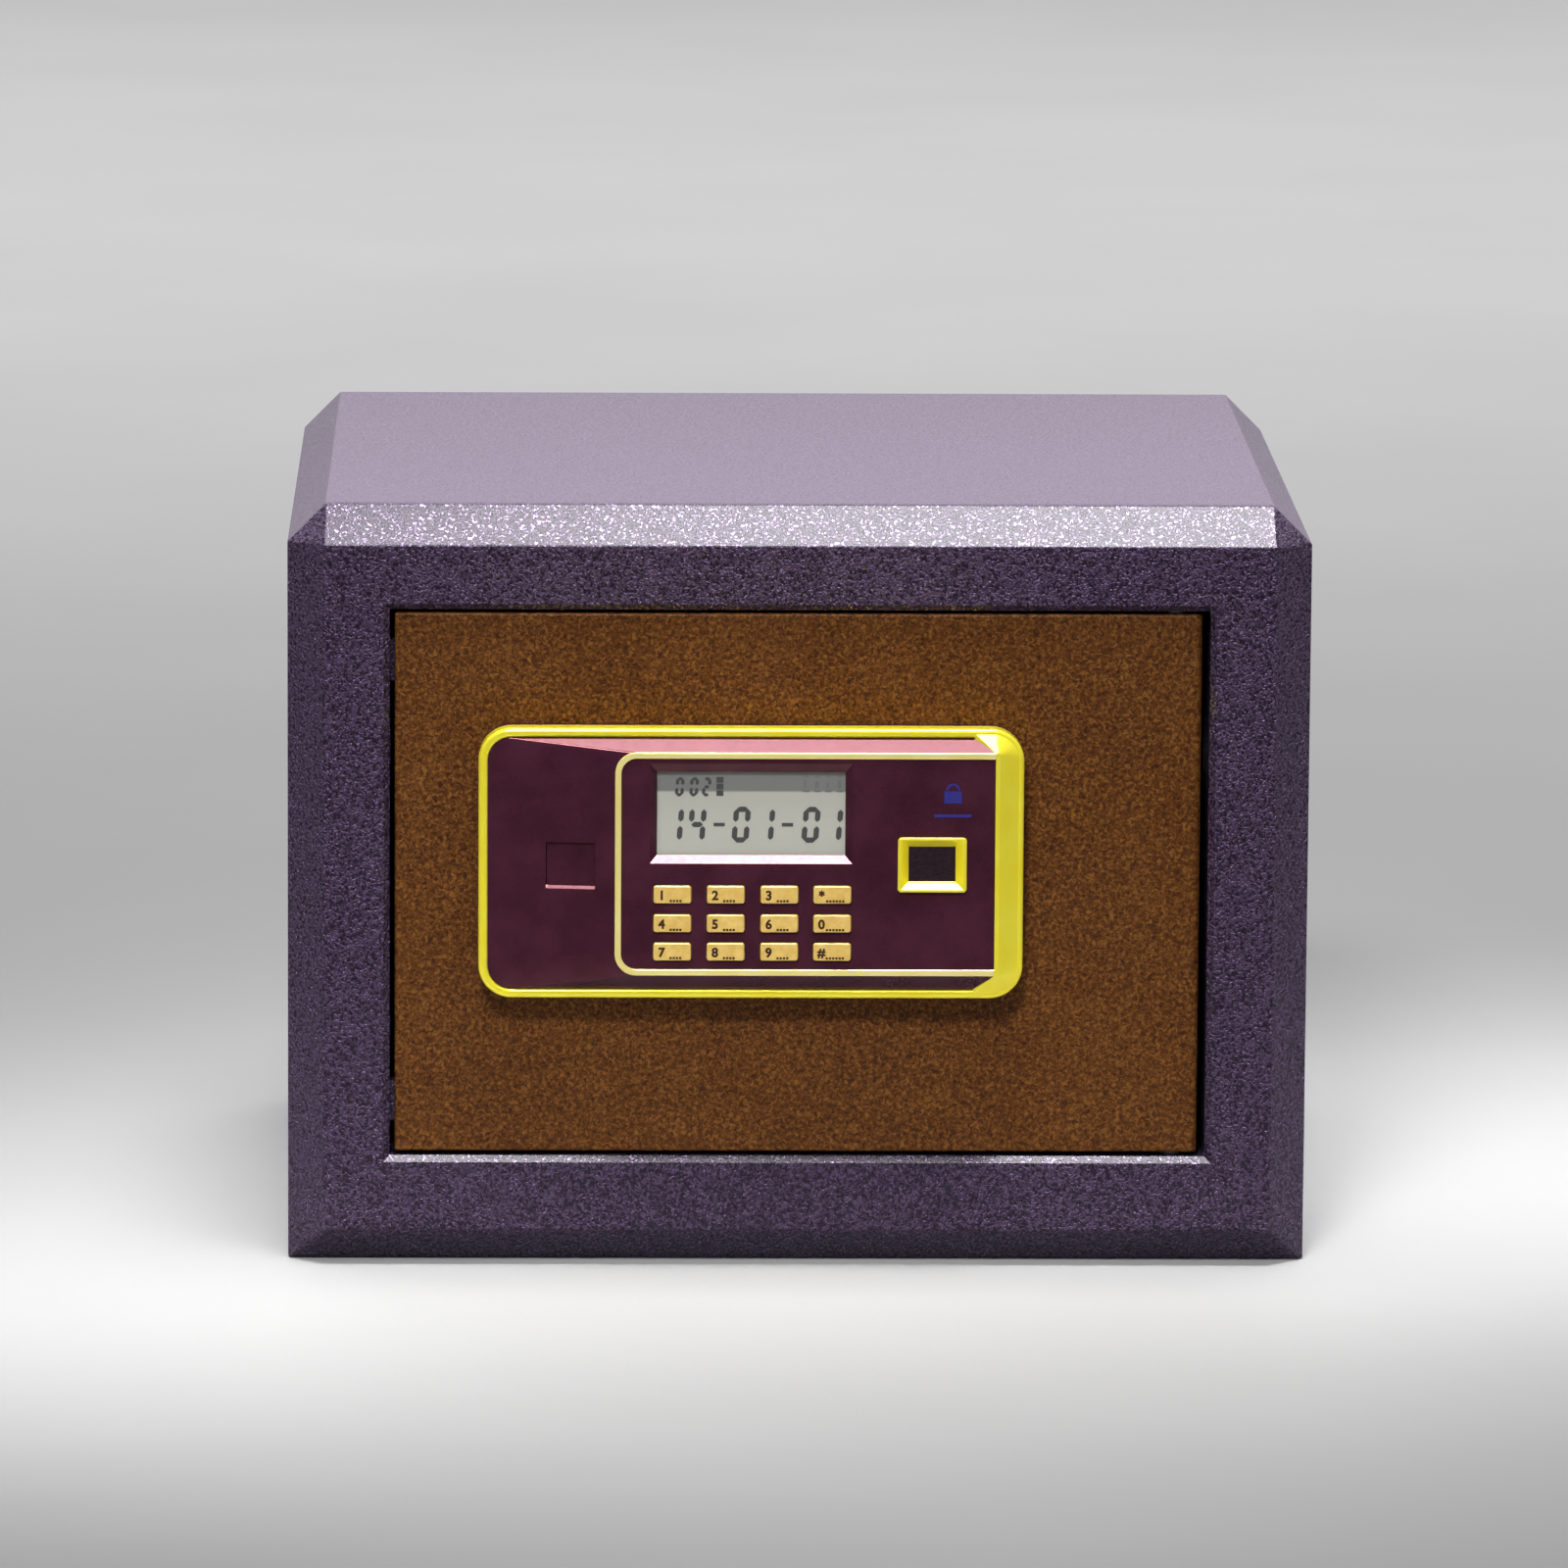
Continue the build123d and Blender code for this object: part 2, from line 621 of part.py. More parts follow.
# Hinge pins pressed into the lugs and turning in the blocks
with BuildPart() as hinge_pins:
    for foot_z in (OPEN_Z - DOOR_H / 2 - PIN_PROUD, OPEN_Z + DOOR_H / 2 + PIN_PROUD - PIN_LENGTH):
        with BuildSketch(Plane.XY.offset(foot_z)) as pin:
            with Locations((HINGE_X, HINGE_Y)):
                Circle(PIN_R)
        extrude(pin.sketch, amount=PIN_LENGTH)
    chamfer(edges().filter_by(GeomType.CIRCLE), PIN_CHAMFER)
finish(hinge_pins, "hinge_pins")

# Door pan: folded box on the plate's back with a rim for the inner cover
with BuildPart() as door_pan:
    slab(PAN_X0, PAN_X1, OPEN_Z - PAN_H / 2, OPEN_Z + PAN_H / 2, Y_PAN_BACK, Y_PAN_BACK - Y_DOOR_REAR)
    fillet(edges().filter_by(Axis.Y), FOLD_R)
    slab(PAN_X0 + PAN_T, PAN_X1 - PAN_T, OPEN_Z - PAN_H / 2 + PAN_T, OPEN_Z + PAN_H / 2 - PAN_T,
         Y_PAN_BACK - PAN_T, Y_PAN_BACK - PAN_T - Y_DOOR_REAR, Mode.SUBTRACT)
    slab(PAN_X0 + PAN_RIM, PAN_X1 - PAN_RIM, OPEN_Z - PAN_H / 2 + PAN_RIM, OPEN_Z + PAN_H / 2 - PAN_RIM,
         Y_PAN_BACK, PAN_T, Mode.SUBTRACT)
    with BuildSketch(Plane.YZ.offset(PAN_X0)) as bolt_holes:
        with Locations(*[(BOLT_Y, z) for z in BOLT_Z]):
            Circle(BOLT_R + BOLT_HOLE_CLEAR)
    extrude(bolt_holes.sketch, amount=PAN_T, mode=Mode.SUBTRACT)
    for x, z in COVER_SCREWS:
        round_bar(x, z, M3_CLEAR_R, Y_PAN_BACK, PAN_T, Mode.SUBTRACT)
finish(door_pan, "door_pan")

# Inner cover: closes the pan, with windows for the cells and the reset button and the flap's ears
with BuildPart() as inner_cover:
    slab(PAN_X0, PAN_X1, OPEN_Z - PAN_H / 2, OPEN_Z + PAN_H / 2, Y_COVER_BACK, COVER_T)
    fillet(edges().filter_by(Axis.Y), COVER_R)
    fillet(edges().group_by(Axis.Y)[-1], COVER_T / 4)
    slab(BOX_X0 - BOX_FIT, BOX_X1 + BOX_FIT, BOX_Z0 - BOX_FIT, BOX_Z1 + BOX_FIT,
         Y_COVER_BACK, COVER_T, Mode.SUBTRACT)
    round_bar(RESET_X, RESET_Z, RESET_R + RESET_FIT, Y_COVER_BACK, COVER_T, Mode.SUBTRACT)
    for x, z in COVER_SCREWS:
        round_bar(x, z, M3_CLEAR_R, Y_COVER_BACK, COVER_T, Mode.SUBTRACT)
    for ear_x, pin_x in (
        (BOX_X0 - EAR_OUT - EAR_W, BOX_X0 - EAR_OUT),
        (BOX_X1 + EAR_OUT, BOX_X1 + EAR_OUT - EAR_PIN),
    ):
        with BuildSketch(Plane.YZ.offset(ear_x)) as ear:
            with Locations((FLAP_Y, FLAP_Z)):
                Circle(FLAP_BARREL_R)
            with Locations(((FLAP_Y + Y_COVER_BACK) / 2, FLAP_Z)):
                Rectangle(FLAP_Y - Y_COVER_BACK, 2 * FLAP_BARREL_R)
        extrude(ear.sketch, amount=EAR_W)
        with BuildSketch(Plane.YZ.offset(pin_x)) as trunnion:
            with Locations((FLAP_Y, FLAP_Z)):
                Circle(FLAP_PIN_R)
        extrude(trunnion.sketch, amount=EAR_PIN)
finish(inner_cover, "inner_cover")

# Cover screws: pan-head screws through the cover and the pan's rim
with BuildPart() as cover_screws:
    for x, z in COVER_SCREWS:
        round_bar(x, z, M3_HEAD_R, Y_COVER_BACK + M3_HEAD_H, M3_HEAD_H)
        round_bar(x, z, M3_R, Y_COVER_BACK, COVER_SCREW_L)
    fillet(edges().group_by(Axis.Y)[-1], M3_HEAD_H / 3)
    for x, z in COVER_SCREWS:
        slab(x - SCREW_SLOT, x + SCREW_SLOT, z - SCREW_SLOT / 4, z + SCREW_SLOT / 4,
             Y_COVER_BACK + M3_HEAD_H, M3_HEAD_H / 2, Mode.SUBTRACT)
        slab(x - SCREW_SLOT / 4, x + SCREW_SLOT / 4, z - SCREW_SLOT, z + SCREW_SLOT,
             Y_COVER_BACK + M3_HEAD_H, M3_HEAD_H / 2, Mode.SUBTRACT)
finish(cover_screws, "cover_screws")

# --- Bolt work ------------------------------------------------------------------------------

# Bolt guides: bored blocks inside the pan's free side
with BuildPart() as bolt_guides:
    for z in BOLT_Z:
        with BuildSketch(Plane.YZ.offset(PAN_X0 + PAN_T)) as guide:
            with Locations((BOLT_Y, z)):
                RectangleRounded(GUIDE_H, GUIDE_H, FOLD_R)
                Circle(BOLT_R + BOLT_RUN, mode=Mode.SUBTRACT)
        extrude(guide.sketch, amount=GUIDE_L)
finish(bolt_guides, "bolt_guides")

# Locking bolts: two round bars with riveted tails
with BuildPart() as locking_bolts:
    for z in BOLT_Z:
        with BuildSketch(Plane.YZ.offset(BOLT_TIP_X)) as bolt:
            with Locations((BOLT_Y, z)):
                Circle(BOLT_R)
        extrude(bolt.sketch, amount=CARRIER_FLANGE_X - BOLT_TIP_X)
        with BuildSketch(Plane.YZ.offset(CARRIER_FLANGE_X)) as tail:
            with Locations((BOLT_Y, z)):
                Circle(TAIL_R)
        extrude(tail.sketch, amount=TAIL_L)
    chamfer(edges().group_by(Axis.X)[0], BOLT_CHAMFER)
finish(locking_bolts, "locking_bolts")

# Bolt carrier: angle bar that holds both bolts, with guide slots, a window round the lock and a rack
with BuildPart() as bolt_carrier:
    with BuildSketch(Plane.YZ.offset(CARRIER_FLANGE_X)) as upright:
        with Locations((CARRIER_Y + CARRIER_FLANGE_D / 2, OPEN_Z)):
            Rectangle(CARRIER_FLANGE_D, BOLT_SPREAD + CARRIER_FLANGE_D)
        with Locations(*[(BOLT_Y, z) for z in BOLT_Z]):
            Circle(TAIL_R + PIN_SEAT, mode=Mode.SUBTRACT)
    extrude(upright.sketch, amount=CARRIER_T)
    slab(CARRIER_FLANGE_X + CARRIER_T, CARRIER_X1, CARRIER_Z0, CARRIER_Z1, CARRIER_Y + CARRIER_T, CARRIER_T)
    slab(LOCK_X - LOCK_R - WINDOW_GAP, LOCK_X + LOCK_R + WINDOW_GAP + BOLT_TRAVEL, LOCK_Z - WINDOW_H / 2,
         LOCK_Z + WINDOW_H / 2, CARRIER_Y + CARRIER_T, CARRIER_T, Mode.SUBTRACT)
    with BuildSketch(facing(CARRIER_Y + CARRIER_T)) as slots:
        with Locations(*[(STUD_X + BOLT_TRAVEL / 2, z) for z in STUD_Z]):
            SlotCenterToCenter(BOLT_TRAVEL, 2 * (STUD_R + BOLT_RUN))
    extrude(slots.sketch, amount=CARRIER_T, mode=Mode.SUBTRACT)
    with BuildSketch(facing(CARRIER_Y + CARRIER_T)) as rack:
        for tooth in range(RACK_TEETH):
            tooth_x = PINION_X + (tooth - RACK_TEETH / 2 + RACK_LEAD + 0.5) * TOOTH_PITCH
            with Locations((tooth_x, RACK_LINE_Z)):
                Polygon(*TOOTH_OUTLINE, align=None)
    extrude(rack.sketch, amount=CARRIER_T)
    round_bar(LUG_PEG_X, LUG_PEG_Z, LUG_PEG_R, CARRIER_Y + CARRIER_T + LUG_PEG_L, LUG_PEG_L)
finish(bolt_carrier, "bolt_carrier")

# Guide studs: shouldered studs in the carrier's slots
with BuildPart() as carrier_studs:
    for z in STUD_Z:
        round_bar(STUD_X, z, STUD_R, Y_STUD_HEAD, Y_STUD_HEAD - Y_DOOR_REAR)
        round_bar(STUD_X, z, STUD_HEAD_R, Y_STUD_HEAD + STUD_HEAD_H, STUD_HEAD_H)
        round_bar(STUD_X, z, STUD_HEAD_R, CARRIER_Y - STUD_PLAY, CARRIER_Y - STUD_PLAY - Y_DOOR_REAR)
finish(carrier_studs, "carrier_studs")

# Drive pinion with its shaft
with BuildPart() as drive_pinion:
    round_bar(PINION_X, PINION_Z, PINION_R - DEDENDUM, Y_PINION_BACK, PINION_WIDTH)
    with BuildSketch(facing(Y_PINION_BACK)) as teeth:
        with Locations((PINION_X, PINION_Z)):
            with PolarLocations(0, PINION_TEETH, start_angle=90):
                Polygon(*PINION_TOOTH, align=None)
    extrude(teeth.sketch, amount=PINION_WIDTH)
    round_bar(PINION_X, PINION_Z, SHAFT_R, Y_PINION_BACK + SHAFT_L, SHAFT_L)
finish(drive_pinion, "drive_pinion")

# Motor bracket: bridge over the pinion
with BuildPart() as motor_bracket:
    slab(BRACKET_X0, BRACKET_X1, BRACKET_Z0, BRACKET_Z1, Y_BRACKET, BRACKET_T)
    for x in (BRACKET_X0, BRACKET_X1 - BRACKET_T):
        slab(x, x + BRACKET_T, BRACKET_Z0, BRACKET_Z0 + BRACKET_LEG, Y_BRACKET, Y_BRACKET - Y_DOOR_REAR)
    for x0, x1 in ((BRACKET_X0 - BRACKET_FOOT, BRACKET_X0), (BRACKET_X1, BRACKET_X1 + BRACKET_FOOT)):
        slab(x0, x1, BRACKET_Z0, BRACKET_Z0 + BRACKET_LEG, Y_DOOR_REAR + BRACKET_T, BRACKET_T)
    round_bar(PINION_X, PINION_Z, SHAFT_R + SHAFT_CLEAR, Y_BRACKET, BRACKET_T, Mode.SUBTRACT)
finish(motor_bracket, "motor_bracket")

# Gearmotor: gear case on the bracket with the motor can hanging below it
with BuildPart() as gearmotor:
    slab(PINION_X - GEARBOX_W / 2, PINION_X + GEARBOX_W / 2, GEARBOX_Z0, GEARBOX_Z0 + GEARBOX_H,
         Y_BRACKET + GEARBOX_D, GEARBOX_D)
    fillet(edges().filter_by(Axis.Y), FOLD_R)
    with BuildSketch(Plane.XY.offset(GEARBOX_Z0 - MOTOR_L)) as can:
        with Locations((PINION_X, Y_BRACKET + GEARBOX_D / 2)):
            Circle(MOTOR_R)
    extrude(can.sketch, amount=MOTOR_L)
    fillet(edges().group_by(Axis.Z)[0], FOLD_R)
    round_bar(PINION_X, PINION_Z, SHAFT_R + PIN_RUN, Y_BRACKET + SHAFT_BORE, SHAFT_BORE, Mode.SUBTRACT)
finish(gearmotor, "gearmotor")

# Override lock: body, nut, key plug and cam
with BuildPart() as key_cylinder:
    round_bar(LOCK_X, LOCK_Z, LOCK_R, Y_LOCK_BACK, Y_LOCK_BACK - Y_LOCK_FRONT)
    round_bar(LOCK_X, LOCK_Z, PLUG_R + PIN_RUN, Y_LOCK_BACK, Y_LOCK_BACK - Y_LOCK_FRONT, Mode.SUBTRACT)
    chamfer(edges().group_by(Axis.Y)[0].sort_by(SortBy.LENGTH)[-1], PIN_CHAMFER)
finish(key_cylinder, "key_cylinder")

with BuildPart() as cylinder_nut:
    with BuildSketch(facing(Y_DOOR_REAR + NUT_T)):
        with Locations((LOCK_X, LOCK_Z)):
            RegularPolygon(NUT_R, 6)
            Circle(LOCK_R + PIN_SEAT, mode=Mode.SUBTRACT)
    extrude(amount=NUT_T)
finish(cylinder_nut, "cylinder_nut")

with BuildPart() as key_plug:
    round_bar(LOCK_X, LOCK_Z, PLUG_R, Y_LOCK_BACK + CAM_GAP, Y_LOCK_BACK + CAM_GAP - Y_LOCK_FRONT)
    slab(LOCK_X - KEYWAY_W / 2, LOCK_X + KEYWAY_W / 2, LOCK_Z - KEYWAY_H / 2, LOCK_Z + KEYWAY_H / 2,
         Y_LOCK_FRONT + KEYWAY_D, KEYWAY_D, Mode.SUBTRACT)
finish(key_plug, "key_plug")

with BuildPart() as override_cam:
    with BuildSketch(facing(Y_LOCK_BACK + CAM_GAP + CAM_T)):
        with Locations((LOCK_X - CAM_LENGTH / 2, LOCK_Z)):
            SlotCenterToCenter(CAM_LENGTH, CAM_W)
    extrude(amount=CAM_T)
    round_bar(LOCK_X, LOCK_Z, M3_HEAD_R, Y_LOCK_BACK + CAM_GAP + CAM_T + M3_HEAD_H, M3_HEAD_H)
finish(override_cam, "override_cam")

# Microswitch that senses the drawn-back carrier
with BuildPart() as microswitch:
    slab(SWITCH_X0, SWITCH_X0 + SWITCH_L, SWITCH_Z - SWITCH_H / 2, SWITCH_Z + SWITCH_H / 2,
         Y_SWITCH_BACK, Y_SWITCH_BACK - Y_DOOR_REAR)
    with BuildSketch(facing(CARRIER_Y + CARRIER_T)) as lever:
        with BuildLine():
            Polyline(
                (SWITCH_X0, SWITCH_Z + SWITCH_H / 2),
                (SWITCH_X0, SWITCH_Z + SWITCH_H / 2 - LEVER_T),
                (CARRIER_X1 + LEVER_GAP, SWITCH_Z),
                (CARRIER_X1 + LEVER_GAP, SWITCH_Z + LEVER_T),
                close=True,
            )
        make_face()
    extrude(lever.sketch, amount=CARRIER_T)
finish(microswitch, "microswitch")

# --- Electronics ----------------------------------------------------------------------------

with BuildPart() as board_standoffs:
    for x in (BOARD_X0 + BOARD_HOLE_IN, BOARD_X1 - BOARD_HOLE_IN):
        for z in (BOARD_Z0 + BOARD_HOLE_IN, BOARD_Z1 - BOARD_HOLE_IN):
            round_bar(x, z, STUD_R, Y_BOARD, Y_BOARD - Y_DOOR_REAR)
finish(board_standoffs, "board_standoffs")

with BuildPart() as control_board:
    slab(BOARD_X0, BOARD_X1, BOARD_Z0, BOARD_Z1, Y_BOARD + BOARD_T, BOARD_T)
finish(control_board, "control_board")

# Chip, relay, buzzer, plug and reset switch standing on the control board
with BuildPart() as board_components:
    for x, z, width, height, proud in (CHIP, RELAY, MOTOR_PLUG, RIBBON_PLUG, RESET_SWITCH, CELL_PLUG):
        centred_slab(x, z, width, height, Y_BOARD + BOARD_T + proud, proud)
    round_bar(BUZZER_X, BUZZER_Z, BUZZER_R, Y_BOARD + BOARD_T + BUZZER_H, BUZZER_H)
finish(board_components, "board_components")

# Reset button: stem, retaining collar and cap, pressed from inside the safe
with BuildPart() as reset_button:
    round_bar(RESET_X, RESET_Z, RESET_R, Y_COVER_BACK + RESET_PROUD, RESET_PROUD + COVER_T + RESET_COLLAR_T)
    fillet(edges().group_by(Axis.Y)[-1], RESET_PROUD / 3)
    round_bar(RESET_X, RESET_Z, RESET_COLLAR_R, Y_PAN_BACK - RESET_FIT, RESET_COLLAR_T)
    round_bar(RESET_X, RESET_Z, RESET_STEM_R, Y_PAN_BACK, RESET_STEM_L)
finish(reset_button, "reset_button")

# Battery box: open tray behind the cover's window
with BuildPart() as battery_box:
    slab(BOX_X0, BOX_X1, BOX_Z0, BOX_Z1, Y_COVER_BACK, BOX_DEPTH)
    slab(BOX_X0 + BOX_T, BOX_X1 - BOX_T, BOX_Z0 + BOX_T, BOX_Z1 - BOX_T,
         Y_COVER_BACK, BOX_DEPTH - BOX_T, Mode.SUBTRACT)
    slab(BOX_X0 - BOX_T, BOX_X1 + BOX_T, BOX_Z0 - BOX_T, BOX_Z1 + BOX_T, Y_PAN_BACK, BOX_T)
    slab(BOX_X0 + BOX_T, BOX_X1 - BOX_T, BOX_Z0 + BOX_T, BOX_Z1 - BOX_T, Y_PAN_BACK, BOX_T, Mode.SUBTRACT)
finish(battery_box, "battery_box")

# Four AA cells side by side, lying along X, turned end for end in turn
with BuildPart() as batteries:
    for cell, cell_z in enumerate(CELL_ROWS):
        nub_side = 1 if cell % 2 else -1
        for x, radius, length in (
            (CELL_X - nub_side * CELL_LENGTH / 2, CELL_R, CELL_LENGTH),
            (CELL_X + nub_side * CELL_LENGTH / 2, CELL_NUB_R, CELL_NUB),
        ):
            with BuildSketch(Plane(origin=(x, CELL_Y, cell_z), z_dir=(nub_side, 0, 0))) as end:
                Circle(radius)
            extrude(end.sketch, amount=length)
    fillet(edges().filter_by(GeomType.CIRCLE).filter_by(lambda e: e.radius > CELL_R - TOUCH), CELL_NUB / 2)
finish(batteries, "batteries")

# Contacts at both ends of every cell
with BuildPart() as battery_contacts:
    for cell, cell_z in enumerate(CELL_ROWS):
        for x0 in (BOX_X0 + BOX_T, BOX_X1 - BOX_T - CONTACT_T):
            slab(x0, x0 + CONTACT_T, cell_z - CONTACT_W / 2, cell_z + CONTACT_W / 2,
                 CELL_Y + CONTACT_W / 2, CONTACT_W)
        for x0, side in ((BOX_X0 + BOX_T + CONTACT_T, 1), (BOX_X1 - BOX_T - CONTACT_T, -1)):
            nub = 0 if (cell % 2) == (side > 0) else CELL_NUB
            reach = abs(CELL_X - x0) - CELL_LENGTH / 2 - nub - CONTACT_PLAY
            with BuildSketch(Plane(origin=(x0, CELL_Y, cell_z), z_dir=(side, 0, 0))) as foot:
                Circle(CONTACT_FOOT_R)
            with BuildSketch(Plane(origin=(x0 + side * reach, CELL_Y, cell_z), z_dir=(side, 0, 0))) as tip:
                Circle(CONTACT_TIP_R)
            loft([foot.sketch.face(), tip.sketch.face()])
finish(battery_contacts, "battery_contacts")

# Battery flap: lid hinged below the window
with BuildPart() as battery_cover:
    slab(BOX_X0 + EAR_CLEAR, BOX_X1 - EAR_CLEAR, FLAP_Z, BOX_Z0, Y_FLAP + FLAP_T, FLAP_T)
    slab(BOX_X0 - FLAP_LAP, BOX_X1 + FLAP_LAP, BOX_Z0 - EAR_CLEAR, BOX_Z1 + FLAP_LAP, Y_FLAP + FLAP_T, FLAP_T)
    slab(CELL_X - FLAP_LIP_W / 2, CELL_X + FLAP_LIP_W / 2, BOX_Z1 + FLAP_LAP - FLAP_T, BOX_Z1 + FLAP_LAP,
         Y_FLAP + 2 * FLAP_T, FLAP_T)
    with BuildSketch(Plane.YZ.offset(BOX_X0 + EAR_CLEAR)) as barrel:
        with Locations((FLAP_Y, FLAP_Z)):
            Circle(FLAP_BARREL_R)
    extrude(barrel.sketch, amount=BOX_X1 - BOX_X0 - 2 * EAR_CLEAR)
    with BuildSketch(Plane.YZ.offset(BOX_X0)) as bore:
        with Locations((FLAP_Y, FLAP_Z)):
            Circle(FLAP_PIN_R + PIN_RUN)
    extrude(bore.sketch, amount=BOX_X1 - BOX_X0, mode=Mode.SUBTRACT)
finish(battery_cover, "battery_cover")

# --- Lock panel -----------------------------------------------------------------------------


def right_rounded(x0, x1, z0, z1, radius):
    """Rectangle whose two right corners are rounded."""
    rectangle(x0, x1, z0, z1)
    fillet(vertices().group_by(Axis.X)[-1], radius)


def left_rounded(x0, x1, z0, z1, radius):
    """Rectangle whose two left corners are rounded."""
    rectangle(x0, x1, z0, z1)
    fillet(vertices().group_by(Axis.X)[0], radius)


# Outer trim: plated rim round the panel that widens into a sloping band at the right end
with BuildPart() as outer_trim:
    with BuildSketch(facing(Y_RIM_BACK)) as rim:
        with Locations(PANEL_CENTRE):
            RectangleRounded(PANEL_X1 - PANEL_X0, PANEL_Z1 - PANEL_Z0, PANEL_R)
            RectangleRounded(PANEL_X1 - PANEL_X0 - 2 * RIM_W, PANEL_Z1 - PANEL_Z0 - 2 * RIM_W,
                             PANEL_R - RIM_W, mode=Mode.SUBTRACT)
    extrude(amount=Y_RIM_BACK - Y_RIM)
    fillet(edges().group_by(Axis.Y)[0], RIM_EDGE_R)
    with BuildSketch(facing(Y_RIM_BACK)):
        right_rounded(BAND_FOOT_X0, BAND_X1, BAND_Z0, BAND_Z1, BAND_R)
    extrude(amount=Y_RIM_BACK - Y_ROOF)
    with BuildSketch(facing(Y_ROOF)) as band_foot:
        right_rounded(BAND_FOOT_X0, BAND_X1, BAND_Z0, BAND_Z1, BAND_R)
    with BuildSketch(facing(Y_PLATEAU)) as band_top:
        right_rounded(BAND_X0, BAND_X0 + BAND_TOP_W, PLATEAU_Z0, PLATEAU_Z1, BAND_TOP_W / 2)
    loft([band_foot.sketch.face(), band_top.sketch.face()], ruled=True)
finish(outer_trim, "outer_trim")

# Panel housing: hip-roofed moulding, hollow behind, with the openings for what it carries
with BuildPart() as panel_housing:
    with BuildSketch(facing(Y_DOOR)) as base:
        with Locations(PANEL_CENTRE):
            RectangleRounded(PANEL_X1 - PANEL_X0, PANEL_Z1 - PANEL_Z0, PANEL_R)
    extrude(base.sketch, amount=Y_DOOR - Y_RIM_BACK)
    with BuildSketch(facing(Y_RIM_BACK)) as wall:
        left_rounded(PANEL_X0 + RIM_W, BAND_X0, PANEL_Z0 + RIM_W, PANEL_Z1 - RIM_W, PANEL_R - RIM_W)
    extrude(wall.sketch, amount=Y_RIM_BACK - Y_ROOF)
    with BuildSketch(facing(Y_ROOF)) as eaves:
        left_rounded(PANEL_X0 + RIM_W, BAND_X0, PANEL_Z0 + RIM_W, PANEL_Z1 - RIM_W, PANEL_R - RIM_W)
    with BuildSketch(facing(Y_PLATEAU)) as plateau:
        left_rounded(PLATEAU_X0, BAND_X0, PLATEAU_Z0, PLATEAU_Z1, PLATEAU_R)
    loft([eaves.sketch.face(), plateau.sketch.face()], ruled=True)
    slab(HOLLOW_X0, HOLLOW_X1, HOLLOW_Z0, HOLLOW_Z1, Y_DOOR, Y_DOOR - Y_HOLLOW, Mode.SUBTRACT)
    slab(HOLLOW_X1, PANEL_X1 - RIM_W, HOLLOW_Z0, HOLLOW_Z1,
         Y_DOOR, Y_DOOR - Y_RIM_BACK - WALL / 2, Mode.SUBTRACT)
    with BuildSketch(facing(Y_HOLLOW)) as hollow_foot:
        rectangle(HOLLOW_X0, HOLLOW_X1, HOLLOW_Z0, HOLLOW_Z1)
    with BuildSketch(facing(Y_PLATEAU + WALL)) as hollow_top:
        rectangle(PLATEAU_X0 + WALL, HOLLOW_X1, PLATEAU_Z0 + WALL, PLATEAU_Z1 - WALL)
    loft([hollow_foot.sketch.face(), hollow_top.sketch.face()], ruled=True, mode=Mode.SUBTRACT)
    add(outer_trim.part, mode=Mode.SUBTRACT)
    # Bosses for the panel screws and the sleeve round the override lock
    for x, z, y_top in SCREW_BOSSES:
        round_bar(x, z, BOSS_R, Y_DOOR, Y_DOOR - y_top)
        round_bar(x, z, M3_R + PIN_SEAT, Y_DOOR, PANEL_SCREW_BITE, Mode.SUBTRACT)
    round_bar(LOCK_X, LOCK_Z, SLEEVE_R, Y_DOOR, Y_DOOR - Y_SLEEVE)
    round_bar(LOCK_X, LOCK_Z, SLEEVE_BORE_R, Y_DOOR, Y_DOOR - Y_SLEEVE, Mode.SUBTRACT)
    # Square opening for the lock's cap, square to the left slope, with a sloping sill
    with BuildSketch(CAP_PLANE) as cap_hole:
        Rectangle(CAP_W, CAP_H)
    extrude(cap_hole.sketch, amount=-CAP_INSET - CAP_T - CAP_GAP, mode=Mode.SUBTRACT)
    cap_sill = CAP_PLANE.from_local_coords((0, -CAP_H / 2, 0))
    chamfer(edges().sort_by_distance(cap_sill)[0], CAP_SILL)
    # Display recess with sloping sides
    with BuildSketch(facing(Y_PLATEAU)) as recess_mouth:
        rectangle(LCD_X0 - LCD_SLOPE, LCD_X1 + LCD_SLOPE, LCD_Z0 - LCD_SLOPE_FOOT, LCD_Z1 + LCD_SLOPE_TOP)
    with BuildSketch(facing(Y_PLATEAU + WALL)) as recess_foot:
        rectangle(LCD_X0, LCD_X1, LCD_Z0, LCD_Z1)
    loft([recess_mouth.sketch.face(), recess_foot.sketch.face()], ruled=True, mode=Mode.SUBTRACT)
    # Key and fingerprint openings
    for key_z in KEY_ROWS:
        for key_x in KEY_COLUMNS:
            with BuildSketch(facing(Y_PLATEAU + WALL)) as key_hole:
                with Locations((key_x, key_z)):
                    RectangleRounded(KEY_W + 2 * KEY_GAP, KEY_H + 2 * KEY_GAP, KEY_R + KEY_GAP)
            extrude(key_hole.sketch, amount=WALL, mode=Mode.SUBTRACT)
    centred_slab(PRINT_X, PRINT_Z, PRINT_W - 2 * PRINT_NECK, PRINT_H - 2 * PRINT_NECK,
                 Y_PLATEAU + WALL, WALL, Mode.SUBTRACT)
finish(panel_housing, "panel_housing")

